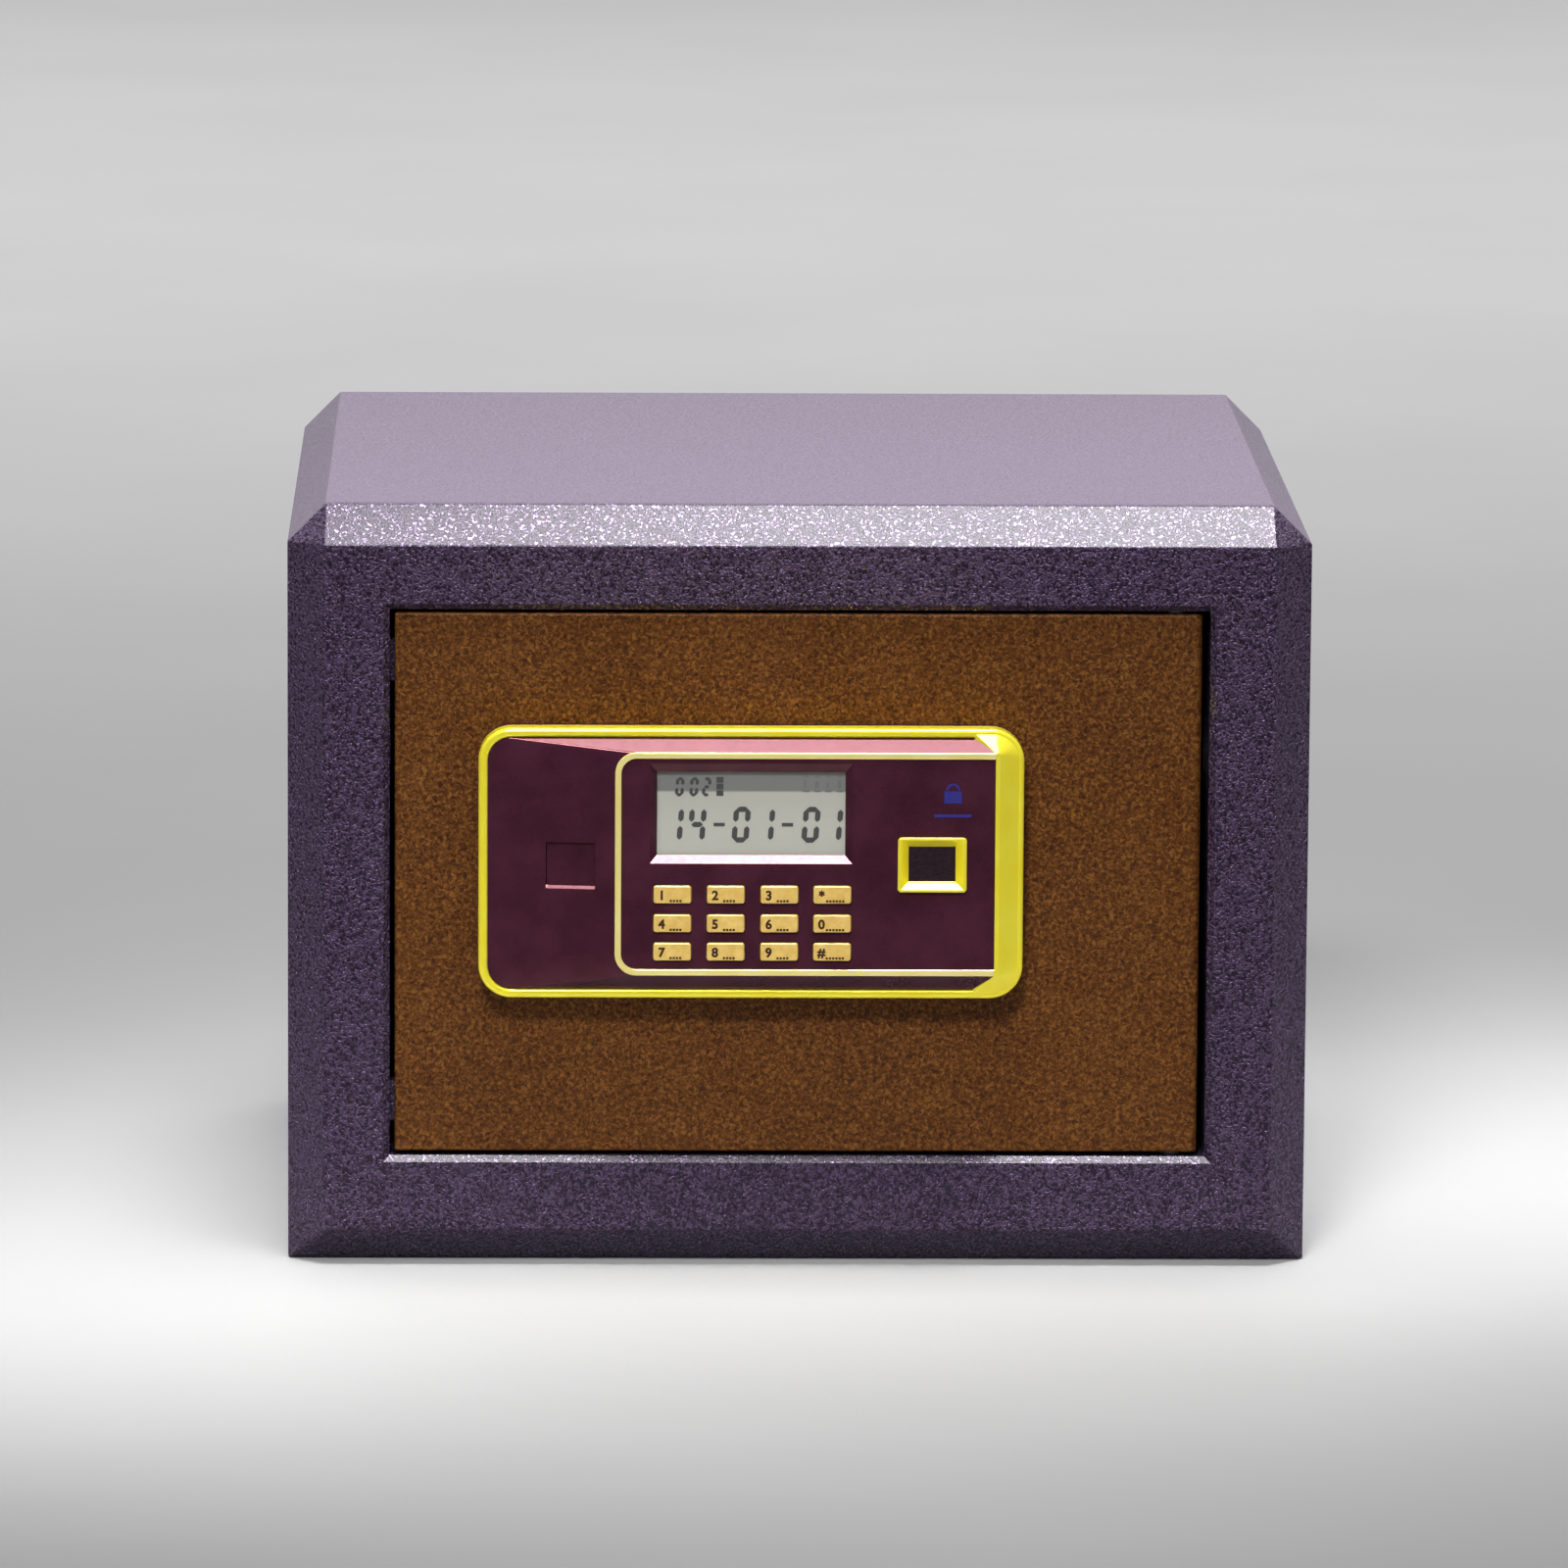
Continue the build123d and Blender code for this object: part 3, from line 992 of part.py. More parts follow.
# Inner trim: plated line round the plateau, open at the right where it meets the band
with BuildPart() as inner_trim:
    with BuildSketch(facing(Y_PLATEAU)) as line:
        left_rounded(PLATEAU_X0, BAND_X0, PLATEAU_Z0, PLATEAU_Z1, PLATEAU_R)
    with BuildSketch(facing(Y_PLATEAU)) as inside:
        left_rounded(PLATEAU_X0 + LINE_W, BAND_X0, PLATEAU_Z0 + LINE_W, PLATEAU_Z1 - LINE_W,
                     PLATEAU_R - LINE_W)
    extrude(line.sketch, amount=LINE_PROUD)
    extrude(inside.sketch, amount=LINE_PROUD, mode=Mode.SUBTRACT)
    fillet(edges().group_by(Axis.Y)[0].filter_by(lambda e: e.center().X < BAND_X0 - TOUCH), LINE_PROUD / 2)
finish(inner_trim, "inner_trim")

# Cap over the override lock
with BuildPart() as keyhole_cover:
    with BuildSketch(CAP_PLANE.offset(-CAP_INSET - CAP_T)):
        RectangleRounded(CAP_W - 2 * CAP_GAP, CAP_H - 2 * CAP_GAP, KEY_GAP)
    extrude(amount=CAP_T)
    fillet(edges().filter_by(lambda e: e.length > CAP_H / 2).group_by(SortBy.DISTANCE)[0], CAP_GAP)
finish(keyhole_cover, "keyhole_cover")

# Display lens and the module behind it
with BuildPart() as lcd_window:
    slab(MODULE_X0, MODULE_X1, MODULE_Z0, MODULE_Z1, Y_PLATEAU + WALL + LENS_T, LENS_T)
finish(lcd_window, "lcd_window")

with BuildPart() as lcd_module:
    slab(MODULE_X0, MODULE_X1, MODULE_Z0, MODULE_Z1, Y_PLATEAU + WALL + LENS_T + MODULE_T, MODULE_T)
finish(lcd_module, "lcd_module")

# Keys: twelve caps with a retaining flange behind the plateau
for key_z, row_names in zip(KEY_ROWS, KEY_NAMES):
    for key_x, key_name in zip(KEY_COLUMNS, row_names):
        with BuildPart() as key:
            with BuildSketch(facing(Y_KEY_BACK)):
                with Locations((key_x, key_z)):
                    RectangleRounded(KEY_W, KEY_H, KEY_R)
            extrude(amount=Y_KEY_BACK - Y_PLATEAU + KEY_PROUD)
            fillet(edges().group_by(Axis.Y)[0], KEY_EDGE_R)
            centred_slab(key_x, key_z, KEY_W + 2 * KEY_FLANGE, KEY_H + 2 * KEY_FLANGE,
                         Y_KEY_BACK, KEY_FLANGE_T)
        finish(key, key_name)

# Rubber mat and circuit board behind the keys
with BuildPart() as keypad_mat:
    slab(PAD_X0, PAD_X1, PAD_Z0, PAD_Z1, Y_PAD_FRONT + MAT_PAD_T, MAT_PAD_T)
finish(keypad_mat, "keypad_mat")

with BuildPart() as keypad_board:
    slab(PAD_X0, PAD_X1, PAD_Z0, PAD_Z1, Y_PAD_BACK, BOARD_T)
finish(keypad_board, "keypad_board")

# Ribbon straight back through the door plate to its plug on the control board
with BuildPart() as keypad_ribbon:
    slab(RIBBON_X - RIBBON_HALF, RIBBON_X + RIBBON_HALF, RIBBON_Z - RIBBON_T / 2, RIBBON_Z + RIBBON_T / 2,
         Y_BOARD, Y_BOARD - Y_PAD_BACK)
finish(keypad_ribbon, "keypad_ribbon")

# Fingerprint reader: plated bezel with a funnel mouth, its window and the sensor behind
with BuildPart() as fingerprint_bezel:
    with BuildSketch(facing(Y_PLATEAU)) as flange:
        with Locations((PRINT_X, PRINT_Z)):
            RectangleRounded(PRINT_W, PRINT_H, PRINT_R)
    extrude(flange.sketch, amount=PRINT_PROUD)
    fillet(edges().group_by(Axis.Y)[0], PRINT_EDGE_R)
    neck_w = PRINT_W - 2 * PRINT_NECK - 2 * CAP_GAP
    neck_h = PRINT_H - 2 * PRINT_NECK - 2 * CAP_GAP
    centred_slab(PRINT_X, PRINT_Z, neck_w, neck_h, Y_PLATEAU + WALL, WALL)
    with BuildSketch(facing(Y_PLATEAU - PRINT_PROUD)) as mouth:
        with Locations((PRINT_X, PRINT_Z)):
            Rectangle(PRINT_WINDOW_W + 2 * FUNNEL_RUN, PRINT_WINDOW_H + 2 * FUNNEL_RUN)
    with BuildSketch(facing(Y_PLATEAU - PRINT_PROUD + FUNNEL_DEPTH)) as throat:
        with Locations((PRINT_X, PRINT_Z)):
            Rectangle(PRINT_WINDOW_W, PRINT_WINDOW_H)
    loft([mouth.sketch.face(), throat.sketch.face()], ruled=True, mode=Mode.SUBTRACT)
    centred_slab(PRINT_X, PRINT_Z, PRINT_WINDOW_W, PRINT_WINDOW_H,
                 Y_PLATEAU + WALL, WALL + PRINT_PROUD, Mode.SUBTRACT)
finish(fingerprint_bezel, "fingerprint_bezel")

with BuildPart() as fingerprint_window:
    centred_slab(PRINT_X, PRINT_Z, PRINT_WINDOW_W, PRINT_WINDOW_H,
                 Y_PLATEAU + WALL, WALL + PRINT_PROUD - FUNNEL_DEPTH)
finish(fingerprint_window, "fingerprint_window")

with BuildPart() as fingerprint_sensor:
    centred_slab(PRINT_X, PRINT_Z, neck_w, neck_h, Y_PLATEAU + WALL + SENSOR_T, SENSOR_T)
finish(fingerprint_sensor, "fingerprint_sensor")

# Panel screws, driven from inside the door
with BuildPart() as panel_screws:
    for x, z, _ in SCREW_BOSSES:
        round_bar(x, z, M3_HEAD_R, Y_DOOR_REAR + M3_HEAD_H, M3_HEAD_H)
        round_bar(x, z, M3_R, Y_DOOR_REAR, PANEL_SCREW_L)
finish(panel_screws, "panel_screws")
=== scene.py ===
"""Looks of the in-room safe: materials, printed marks, display figures, carpet, light and camera.

Metres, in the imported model's frame: +X right seen from the front, the door faces -Y, +Z up.
"""

import json
import math

import bmesh
import bpy
from mathutils import Matrix, Vector, noise


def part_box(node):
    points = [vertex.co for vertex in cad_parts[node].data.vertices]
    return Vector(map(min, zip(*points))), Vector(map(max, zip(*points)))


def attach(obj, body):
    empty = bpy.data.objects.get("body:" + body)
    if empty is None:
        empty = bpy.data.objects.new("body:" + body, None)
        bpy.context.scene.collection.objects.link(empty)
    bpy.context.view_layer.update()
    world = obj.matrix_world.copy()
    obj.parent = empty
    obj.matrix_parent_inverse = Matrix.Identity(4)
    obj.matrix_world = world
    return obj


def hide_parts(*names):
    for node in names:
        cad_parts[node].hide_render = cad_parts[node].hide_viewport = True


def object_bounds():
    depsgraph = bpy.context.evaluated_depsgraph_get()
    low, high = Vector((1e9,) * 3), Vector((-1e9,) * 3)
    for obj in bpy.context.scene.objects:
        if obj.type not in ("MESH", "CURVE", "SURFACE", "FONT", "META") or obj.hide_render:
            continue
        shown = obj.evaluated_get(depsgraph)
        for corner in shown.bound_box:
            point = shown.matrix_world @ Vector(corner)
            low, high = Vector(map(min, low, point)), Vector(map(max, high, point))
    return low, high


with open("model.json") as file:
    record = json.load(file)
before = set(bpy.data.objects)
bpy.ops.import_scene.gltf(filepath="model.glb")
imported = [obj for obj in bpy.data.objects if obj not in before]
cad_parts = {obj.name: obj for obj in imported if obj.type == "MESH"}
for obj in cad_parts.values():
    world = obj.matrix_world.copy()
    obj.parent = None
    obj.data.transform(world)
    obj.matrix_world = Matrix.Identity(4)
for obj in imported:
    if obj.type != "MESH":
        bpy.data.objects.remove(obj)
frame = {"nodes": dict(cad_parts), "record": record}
cad_low, cad_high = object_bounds()
NODES = frame["nodes"]
MM = 0.001

# Thickness of printed and displayed marks, and of the figures on the keys
PRINT_T = 0.05 * MM
FIGURE_T = 0.06 * MM

# Front face of the lock panel's plateau
Y_PLATEAU = -185.0 * MM

# --- Node helpers ---------------------------------------------------------------------------


class Paint:
    """A material with a Principled shader and short ways to add the nodes it needs."""

    def __init__(self, name, **shader):
        self.material = bpy.data.materials.new(name)
        self.material.use_nodes = True
        self.tree = self.material.node_tree
        self.shader = self.tree.nodes["Principled BSDF"]
        for socket, value in shader.items():
            self.shader.inputs[socket.replace("_", " ")].default_value = value
        self.where = self.tree.nodes.new("ShaderNodeTexCoord").outputs["Object"]

    def link(self, output, node, socket):
        self.tree.links.new(output, node.inputs[socket])

    def noise(self, scale, detail=2.0, roughness=0.5, distortion=0.0, where=None):
        node = self.tree.nodes.new("ShaderNodeTexNoise")
        node.inputs["Scale"].default_value = scale
        node.inputs["Detail"].default_value = detail
        node.inputs["Roughness"].default_value = roughness
        node.inputs["Distortion"].default_value = distortion
        self.link(where or self.where, node, "Vector")
        return node.outputs["Fac"]

    def cells(self, scale, feature="F1"):
        node = self.tree.nodes.new("ShaderNodeTexVoronoi")
        node.feature = feature
        node.inputs["Scale"].default_value = scale
        self.link(self.where, node, "Vector")
        return node.outputs["Distance"]

    def stretched(self, x, y, z):
        """Coordinates scaled along the axes, for brushed or drawn metal."""
        node = self.tree.nodes.new("ShaderNodeMapping")
        node.inputs["Scale"].default_value = (x, y, z)
        self.link(self.where, node, "Vector")
        return node.outputs["Vector"]

    def remap(self, value, low, high, to_low=0.0, to_high=1.0):
        node = self.tree.nodes.new("ShaderNodeMapRange")
        node.interpolation_type = "SMOOTHSTEP"
        limits = {"From Min": low, "From Max": high, "To Min": to_low, "To Max": to_high}
        for socket, number in limits.items():
            node.inputs[socket].default_value = number
        self.link(value, node, "Value")
        return node.outputs["Result"]

    def blend(self, first, second, share):
        """Mix of two values, with the given share of the second."""
        node = self.tree.nodes.new("ShaderNodeMix")
        node.inputs["Factor"].default_value = share
        self.link(first, node, "A")
        self.link(second, node, "B")
        return node.outputs["Result"]

    def ramp(self, value, *stops):
        """Base colour from a value, by (position, colour) stops."""
        node = self.tree.nodes.new("ShaderNodeValToRGB")
        ramp = node.color_ramp
        while len(ramp.elements) < len(stops):
            ramp.elements.new(0.5)
        for element, (position, colour) in zip(ramp.elements, stops):
            element.position = position
            element.color = (*colour, 1.0)
        self.link(value, node, "Fac")
        self.link(node.outputs["Color"], self.shader, "Base Color")

    def gloss(self, value, low, high, rough_low, rough_high):
        """Roughness from rough_low to rough_high, as a value goes from low to high."""
        self.link(self.remap(value, low, high, rough_low, rough_high), self.shader, "Roughness")

    def bump(self, height, depth, strength=1.0):
        """Bump whose height 0 to 1 stands for a depth in metres."""
        node = self.tree.nodes.new("ShaderNodeBump")
        node.inputs["Strength"].default_value = strength
        node.inputs["Distance"].default_value = depth
        self.link(height, node, "Height")
        self.link(node.outputs["Normal"], self.shader, "Normal")


def wear(paint, low, high):
    """Slow variation of roughness over a part, as handling leaves it."""
    paint.gloss(paint.noise(18.0, 4.0, 0.6), 0.3, 0.7, low, high)


# --- Materials ------------------------------------------------------------------------------


def powder_coat(name, depth, pit_shade, crest_glint):
    """Dark violet-grey coat with the wormy grain of a leather-texture powder, of a given depth in mm;
    its colour is darker in the grain's pits and lighter on its crests, painted shade and painted glints
    over the coat's own colour.
    """
    violet_glint = (0.92, 0.80, 1.0, 1.0)
    paint = Paint(name, Metallic=0.6, Specular_Tint=violet_glint, Coat_Weight=0.22, Coat_Roughness=0.18)
    grain = paint.noise(880.0, 2.0, 0.5, 0.6)
    # painted shade and glints: the colour follows the bump's crests, darker in the pits and lighter on
    # the tips
    crests = paint.remap(grain, 0.36, 0.64)
    tone = paint.blend(crests, paint.noise(30.0, 3.0, 0.6), 0.12)
    paint.ramp(tone, (0.15, pit_shade), (0.85, crest_glint))
    paint.gloss(grain, 0.36, 0.64, 0.42, 0.24)
    paint.bump(crests, depth * MM)
    return paint.material


def hammer_paint():
    """Brown hammer-finish paint: fine dimples over a slightly metallic brown."""
    paint = Paint("hammer_paint", Specular_IOR_Level=0.2, Metallic=0.2)
    dimples = paint.cells(820.0)
    mottle = paint.noise(640.0, 3.0, 0.6, 0.8)
    tone = paint.blend(mottle, paint.noise(26.0, 4.0, 0.6), 0.10)
    dark, middle, light = (0.032, 0.008, 0.001), (0.094, 0.030, 0.004), (0.210, 0.084, 0.016)
    paint.ramp(tone, (0.34, dark), (0.5, middle), (0.66, light))
    wear(paint, 0.42, 0.52)
    paint.bump(paint.blend(paint.remap(dimples, 0.0, 0.8), mottle, 0.6), 0.28 * MM)
    return paint.material


def burgundy():
    """Gloss burgundy moulding with a very slight ripple and dust."""
    paint = Paint("burgundy_gloss", Specular_IOR_Level=0.55, Specular_Tint=(1.0, 0.36, 0.40, 1.0))
    tone = paint.blend(paint.noise(45.0, 3.0, 0.55), paint.noise(1500.0, 1.0, 0.5), 0.25)
    paint.ramp(tone, (0.35, (0.026, 0.006, 0.013)), (0.65, (0.048, 0.012, 0.024)))
    paint.gloss(paint.noise(400.0, 3.0, 0.7), 0.35, 0.75, 0.10, 0.19)
    paint.bump(paint.noise(170.0, 2.0, 0.5), 0.02 * MM, 0.5)
    return paint.material


def gold_plate(name, deep, bright):
    """Bright yellow plating on moulded trim, between a deep and a bright tone."""
    paint = Paint(name, Metallic=0.45, Specular_IOR_Level=0.7)
    paint.ramp(paint.noise(60.0, 3.0, 0.5), (0.3, deep), (0.7, bright))
    paint.gloss(paint.noise(350.0, 3.0, 0.6), 0.3, 0.8, 0.13, 0.24)
    paint.bump(paint.noise(300.0, 2.0, 0.5), 0.012 * MM, 0.6)
    return paint.material


def key_gold():
    """Pale gold satin coat of the keys."""
    paint = Paint("key_gold", Specular_IOR_Level=0.5, Metallic=0.35, Coat_Weight=0.3, Coat_Roughness=0.2)
    paint.ramp(paint.noise(260.0, 3.0, 0.6), (0.3, (0.72, 0.45, 0.10)), (0.7, (0.88, 0.62, 0.18)))
    paint.gloss(paint.noise(900.0, 2.0, 0.6), 0.3, 0.7, 0.30, 0.42)
    paint.bump(paint.noise(2200.0, 1.0, 0.5), 0.01 * MM, 0.5)
    return paint.material


def metal(name, colour, rough, stretch=(1, 1, 1)):
    """Plain or brushed metal: colour, mean roughness and the stretch of its lay."""
    paint = Paint(name, Metallic=1.0)
    lay = paint.noise(900.0, 3.0, 0.6, where=paint.stretched(*stretch))
    darker = tuple(channel * 0.78 for channel in colour)
    paint.ramp(paint.blend(lay, paint.noise(40.0, 3.0), 0.5), (0.35, darker), (0.65, colour))
    paint.gloss(lay, 0.3, 0.7, rough * 0.75, rough * 1.25)
    paint.bump(lay, 0.01 * MM, 0.6)
    return paint.material


def plastic(name, colour, rough, **shader):
    """Moulded plastic with a fine spark-eroded grain."""
    paint = Paint(name, **shader)
    grain = paint.noise(1800.0, 2.0, 0.6)
    lighter = tuple(min(1.0, channel * 1.35 + 0.004) for channel in colour)
    paint.ramp(paint.blend(grain, paint.noise(50.0, 3.0), 0.6), (0.3, colour), (0.7, lighter))
    paint.gloss(grain, 0.3, 0.7, rough * 0.85, rough * 1.15)
    paint.bump(grain, 0.02 * MM, 0.7)
    return paint.material


def circuit_board():
    """Green solder mask with a hint of the copper under it."""
    paint = Paint("circuit_board", Specular_IOR_Level=0.5)
    tracks = paint.remap(paint.cells(420.0, "F2"), 0.35, 0.42)
    paint.ramp(tracks, (0.2, (0.006, 0.060, 0.022)), (0.8, (0.012, 0.110, 0.040)))
    wear(paint, 0.25, 0.35)
    paint.bump(tracks, 0.03 * MM)
    return paint.material


def felt():
    """Needle-felt carpet: short fibres, soft sheen."""
    paint = Paint("needle_felt", Sheen_Weight=0.35, Sheen_Roughness=0.5, Roughness=0.95)
    fibre = paint.noise(1400.0, 4.0, 0.75, 2.5)
    tone = paint.blend(fibre, paint.noise(120.0, 3.0, 0.6), 0.35)
    paint.ramp(tone, (0.32, (0.012, 0.012, 0.014)), (0.66, (0.060, 0.058, 0.064)))
    paint.bump(fibre, 0.5 * MM)
    return paint.material


def inner_coat():
    """Plain near-black coat of the parts inside the cabinet and the door."""
    paint = Paint("inner_coat", Specular_IOR_Level=0.5)
    grain = paint.noise(900.0, 2.5, 0.55, 0.9)
    tone = paint.blend(paint.noise(30.0, 3.0), grain, 0.5)
    paint.ramp(tone, (0.3, (0.016, 0.013, 0.018)), (0.65, (0.040, 0.034, 0.044)))
    wear(paint, 0.42, 0.52)
    paint.bump(grain, 0.12 * MM)
    return paint.material


def along_axis(paint, axis):
    """Object coordinate along one axis."""
    split = paint.tree.nodes.new("ShaderNodeSeparateXYZ")
    paint.link(paint.where, split, "Vector")
    return split.outputs[axis]


def display_face():
    """Grey-green liquid crystal face with a painted shadow: darker in a band along its top, where the
    recess's upper edge shades it.
    """
    shadow_height, shadow_blur = 11.7 * MM, 0.6 * MM
    paint = Paint("display_face", Specular_IOR_Level=0.3)
    # painted shadow: the top band of the face is darkened in its colour, standing in for the shade under
    # the recess's upper edge
    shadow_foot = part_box("lcd_module")[1].z - shadow_height
    shade = paint.remap(along_axis(paint, "Z"), shadow_foot - shadow_blur, shadow_foot + shadow_blur)
    speck = paint.noise(2600.0, 2.0, 0.5)
    face, band = (0.41, 0.41, 0.355), (0.145, 0.147, 0.135)
    paint.ramp(paint.blend(shade, speck, 0.12), (0.08, face), (0.92, band))
    paint.gloss(speck, 0.3, 0.7, 0.38, 0.46)
    return paint.material


def clear_lens():
    """Clear display lens: seen through, with its own gloss."""
    tint = (0.95, 0.97, 0.96, 1.0)
    paint = Paint("clear_lens", Base_Color=tint, Alpha=0.05, Specular_IOR_Level=0.5)
    paint.gloss(paint.noise(60.0, 3.0, 0.6), 0.3, 0.7, 0.04, 0.10)
    return paint.material


def dark_glass():
    """Near-black glossy fingerprint window."""
    paint = Paint("dark_glass", Specular_IOR_Level=0.22)
    lines = paint.noise(700.0, 2.0, 0.5, 1.5, where=paint.stretched(1, 1, 3))
    paint.ramp(lines, (0.35, (0.012, 0.006, 0.010)), (0.65, (0.026, 0.014, 0.020)))
    paint.gloss(lines, 0.3, 0.7, 0.09, 0.16)
    return paint.material


def ink(name, colour, rough, **shader):
    """Printed or displayed mark."""
    paint = Paint(name, **shader)
    patch = paint.noise(2500.0, 2.0, 0.6)
    paler = tuple(channel * 1.25 + 0.004 for channel in colour)
    paint.ramp(patch, (0.35, colour), (0.7, paler))
    paint.gloss(patch, 0.3, 0.7, rough * 0.9, rough * 1.1)
    return paint.material


def cell_jacket():
    """Shrink jacket of a cell: black with a copper-coloured end band, bare metal at both ends."""
    paint = Paint("cell_jacket", Specular_IOR_Level=0.5)
    low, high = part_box("batteries")
    steel, black, copper = (0.55, 0.55, 0.56), (0.012, 0.012, 0.014), (0.45, 0.19, 0.07)
    ends = ((0.0, steel), (0.035, steel), (0.04, copper), (0.22, copper))
    barrel = ((0.23, black), (0.965, black), (0.97, steel))
    paint.ramp(paint.remap(along_axis(paint, "X"), low.x, high.x), *ends, *barrel)
    wear(paint, 0.22, 0.32)
    return paint.material


MATERIALS = {
    # the last two colours are the coat's painted shade in the grain's pits and its painted glint on the
    # crests
    "frame_paint": powder_coat("powder_coat", 0.5, (0.013, 0.006, 0.018), (0.084, 0.052, 0.110)),
    "door_paint": hammer_paint(),
    "panel_plastic": burgundy(),
    "gold_plate": gold_plate("gold_plate", (0.98, 0.82, 0.030), (1.0, 0.90, 0.055)),
    "key_plastic": key_gold(),
    "bare_steel": metal("zinc_steel", (0.50, 0.50, 0.53), 0.34, (1, 6, 1)),
    "bolt_chrome": metal("chrome_bolt", (0.72, 0.72, 0.74), 0.10, (6, 1, 1)),
    "gear_brass": metal("machined_brass", (0.62, 0.44, 0.17), 0.26, (1, 6, 1)),
    "lock_metal": metal("satin_nickel", (0.58, 0.57, 0.54), 0.28, (1, 6, 1)),
    "motor_metal": metal("drawn_can", (0.55, 0.55, 0.57), 0.30, (1, 1, 5)),
    "standoff_brass": metal("turned_brass", (0.66, 0.48, 0.20), 0.24, (1, 5, 1)),
    "contact_metal": metal("nickel_contact", (0.66, 0.65, 0.62), 0.22),
    "black_plastic": plastic("black_plastic", (0.012, 0.012, 0.013), 0.48),
    "board_green": circuit_board(),
    "cell_jacket": cell_jacket(),
    "lens": clear_lens(),
    "lcd_grey": display_face(),
    "mat_rubber": plastic("mat_rubber", (0.055, 0.055, 0.06), 0.62),
    "ribbon_plastic": plastic("ribbon_film", (0.42, 0.42, 0.40), 0.40),
    "print_glass": dark_glass(),
    "sensor_black": plastic("sensor_black", (0.010, 0.010, 0.011), 0.40),
    "reset_red": plastic("reset_red", (0.42, 0.010, 0.010), 0.24, Coat_Weight=0.3),
    "carpet": felt(),
    "inner_paint": inner_coat(),
}

INK = ink("key_ink", (0.035, 0.012, 0.004), 0.6, Specular_IOR_Level=0.2)
SEGMENT = ink("display_segment", (0.008, 0.010, 0.009), 0.6, Specular_IOR_Level=0.2)
FAINT_SEGMENT = ink("faint_segment", (0.085, 0.088, 0.088), 0.5)
BLUE_PRINT = ink("blue_print", (0.018, 0.018, 0.15), 0.5, Specular_IOR_Level=0.2)

# Parts that differ from the rest of their slot: the plain sheets' finer coat, and the inner gold line
# painted paler, a painted highlight of the light it catches
OWN_FINISH = {
    # pit and crest colours: painted shade and painted glints of the finer grain
    "body_wrap": powder_coat("powder_coat_smooth", 0.12, (0.052, 0.034, 0.064), (0.088, 0.062, 0.106)),
    "inner_trim": gold_plate("gold_plate_painted_highlight", (0.92, 0.78, 0.24), (0.98, 0.86, 0.34)),
}

for row in frame["record"]["subparts"]:
    mesh = NODES[row["node"]].data
    mesh.materials.clear()
    mesh.materials.append(OWN_FINISH.get(row["node"], MATERIALS[row["material_slot"]]))

# --- Piece helpers --------------------------------------------------------------------------


def piece(name, mesh, material, body):
    """Links a mesh as a piece that rides on a body, with the given material."""
    mesh.materials.clear()
    mesh.materials.append(material)
    thing = bpy.data.objects.new(name, mesh)
    bpy.context.scene.collection.objects.link(thing)
    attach(thing, body)
    return thing


def flat_prints(shapes, y_back):
    """Mesh of thin prisms: each shape is a list of (x, z) corners, anticlockwise from the front."""
    mesh = bmesh.new()
    for shape in shapes:
        back = [mesh.verts.new((x, y_back, z)) for x, z in shape]
        front = [mesh.verts.new((x, y_back - PRINT_T, z)) for x, z in shape]
        mesh.faces.new(front)
        mesh.faces.new(back[::-1])
        for i in range(len(shape)):
            j = (i + 1) % len(shape)
            mesh.faces.new((front[i], back[i], back[j], front[j]))
    bmesh.ops.recalc_face_normals(mesh, faces=mesh.faces)
    out = bpy.data.meshes.new("prints")
    mesh.to_mesh(out)
    mesh.free()
    return out


def box_shape(x0, x1, z0, z1):
    return [(x0, z0), (x1, z0), (x1, z1), (x0, z1)]


def moved(shape, x, z):
    return [(x + px, z + pz) for px, pz in shape]


# --- Display figures ------------------------------------------------------------------------

SEGMENTS_OF = {"0": "abcdef", "1": "bc", "2": "abged", "4": "fgbc"}
SEGMENT_SLANT = 0.077


def seven_segment(character, width, height, bar):
    """Slanted seven-segment character as separate bars, its lower left corner at the origin."""
    middle = height / 2
    chop = bar / 2
    left, right = chop, width - chop
    across = {"a": height - chop, "g": middle, "d": chop}
    upper, lower = (middle + chop, height - chop), (chop, middle - bar / 4)
    upright = {"f": (left, *upper), "b": (right, *upper), "e": (left, *lower), "c": (right, *lower)}
    shapes = []
    for segment in SEGMENTS_OF[character]:
        if segment in across:
            z = across[segment]
            outline = [
                (left, z), (left + chop, z - chop), (right - chop, z - chop),
                (right, z), (right - chop, z + chop), (left + chop, z + chop),
            ]
        else:
            x, z0, z1 = upright[segment]
            outline = [
                (x, z0), (x + chop, z0 + chop), (x + chop, z1 - chop),
                (x, z1), (x - chop, z1 - chop), (x - chop, z0 + chop),
            ]
        shapes.append([(px + SEGMENT_SLANT * pz, pz) for px, pz in outline])
    return shapes


def mm_box(x0, x1, z0, z1):
    """Rectangle given in millimetres."""
    return box_shape(x0 * MM, x1 * MM, z0 * MM, z1 * MM)


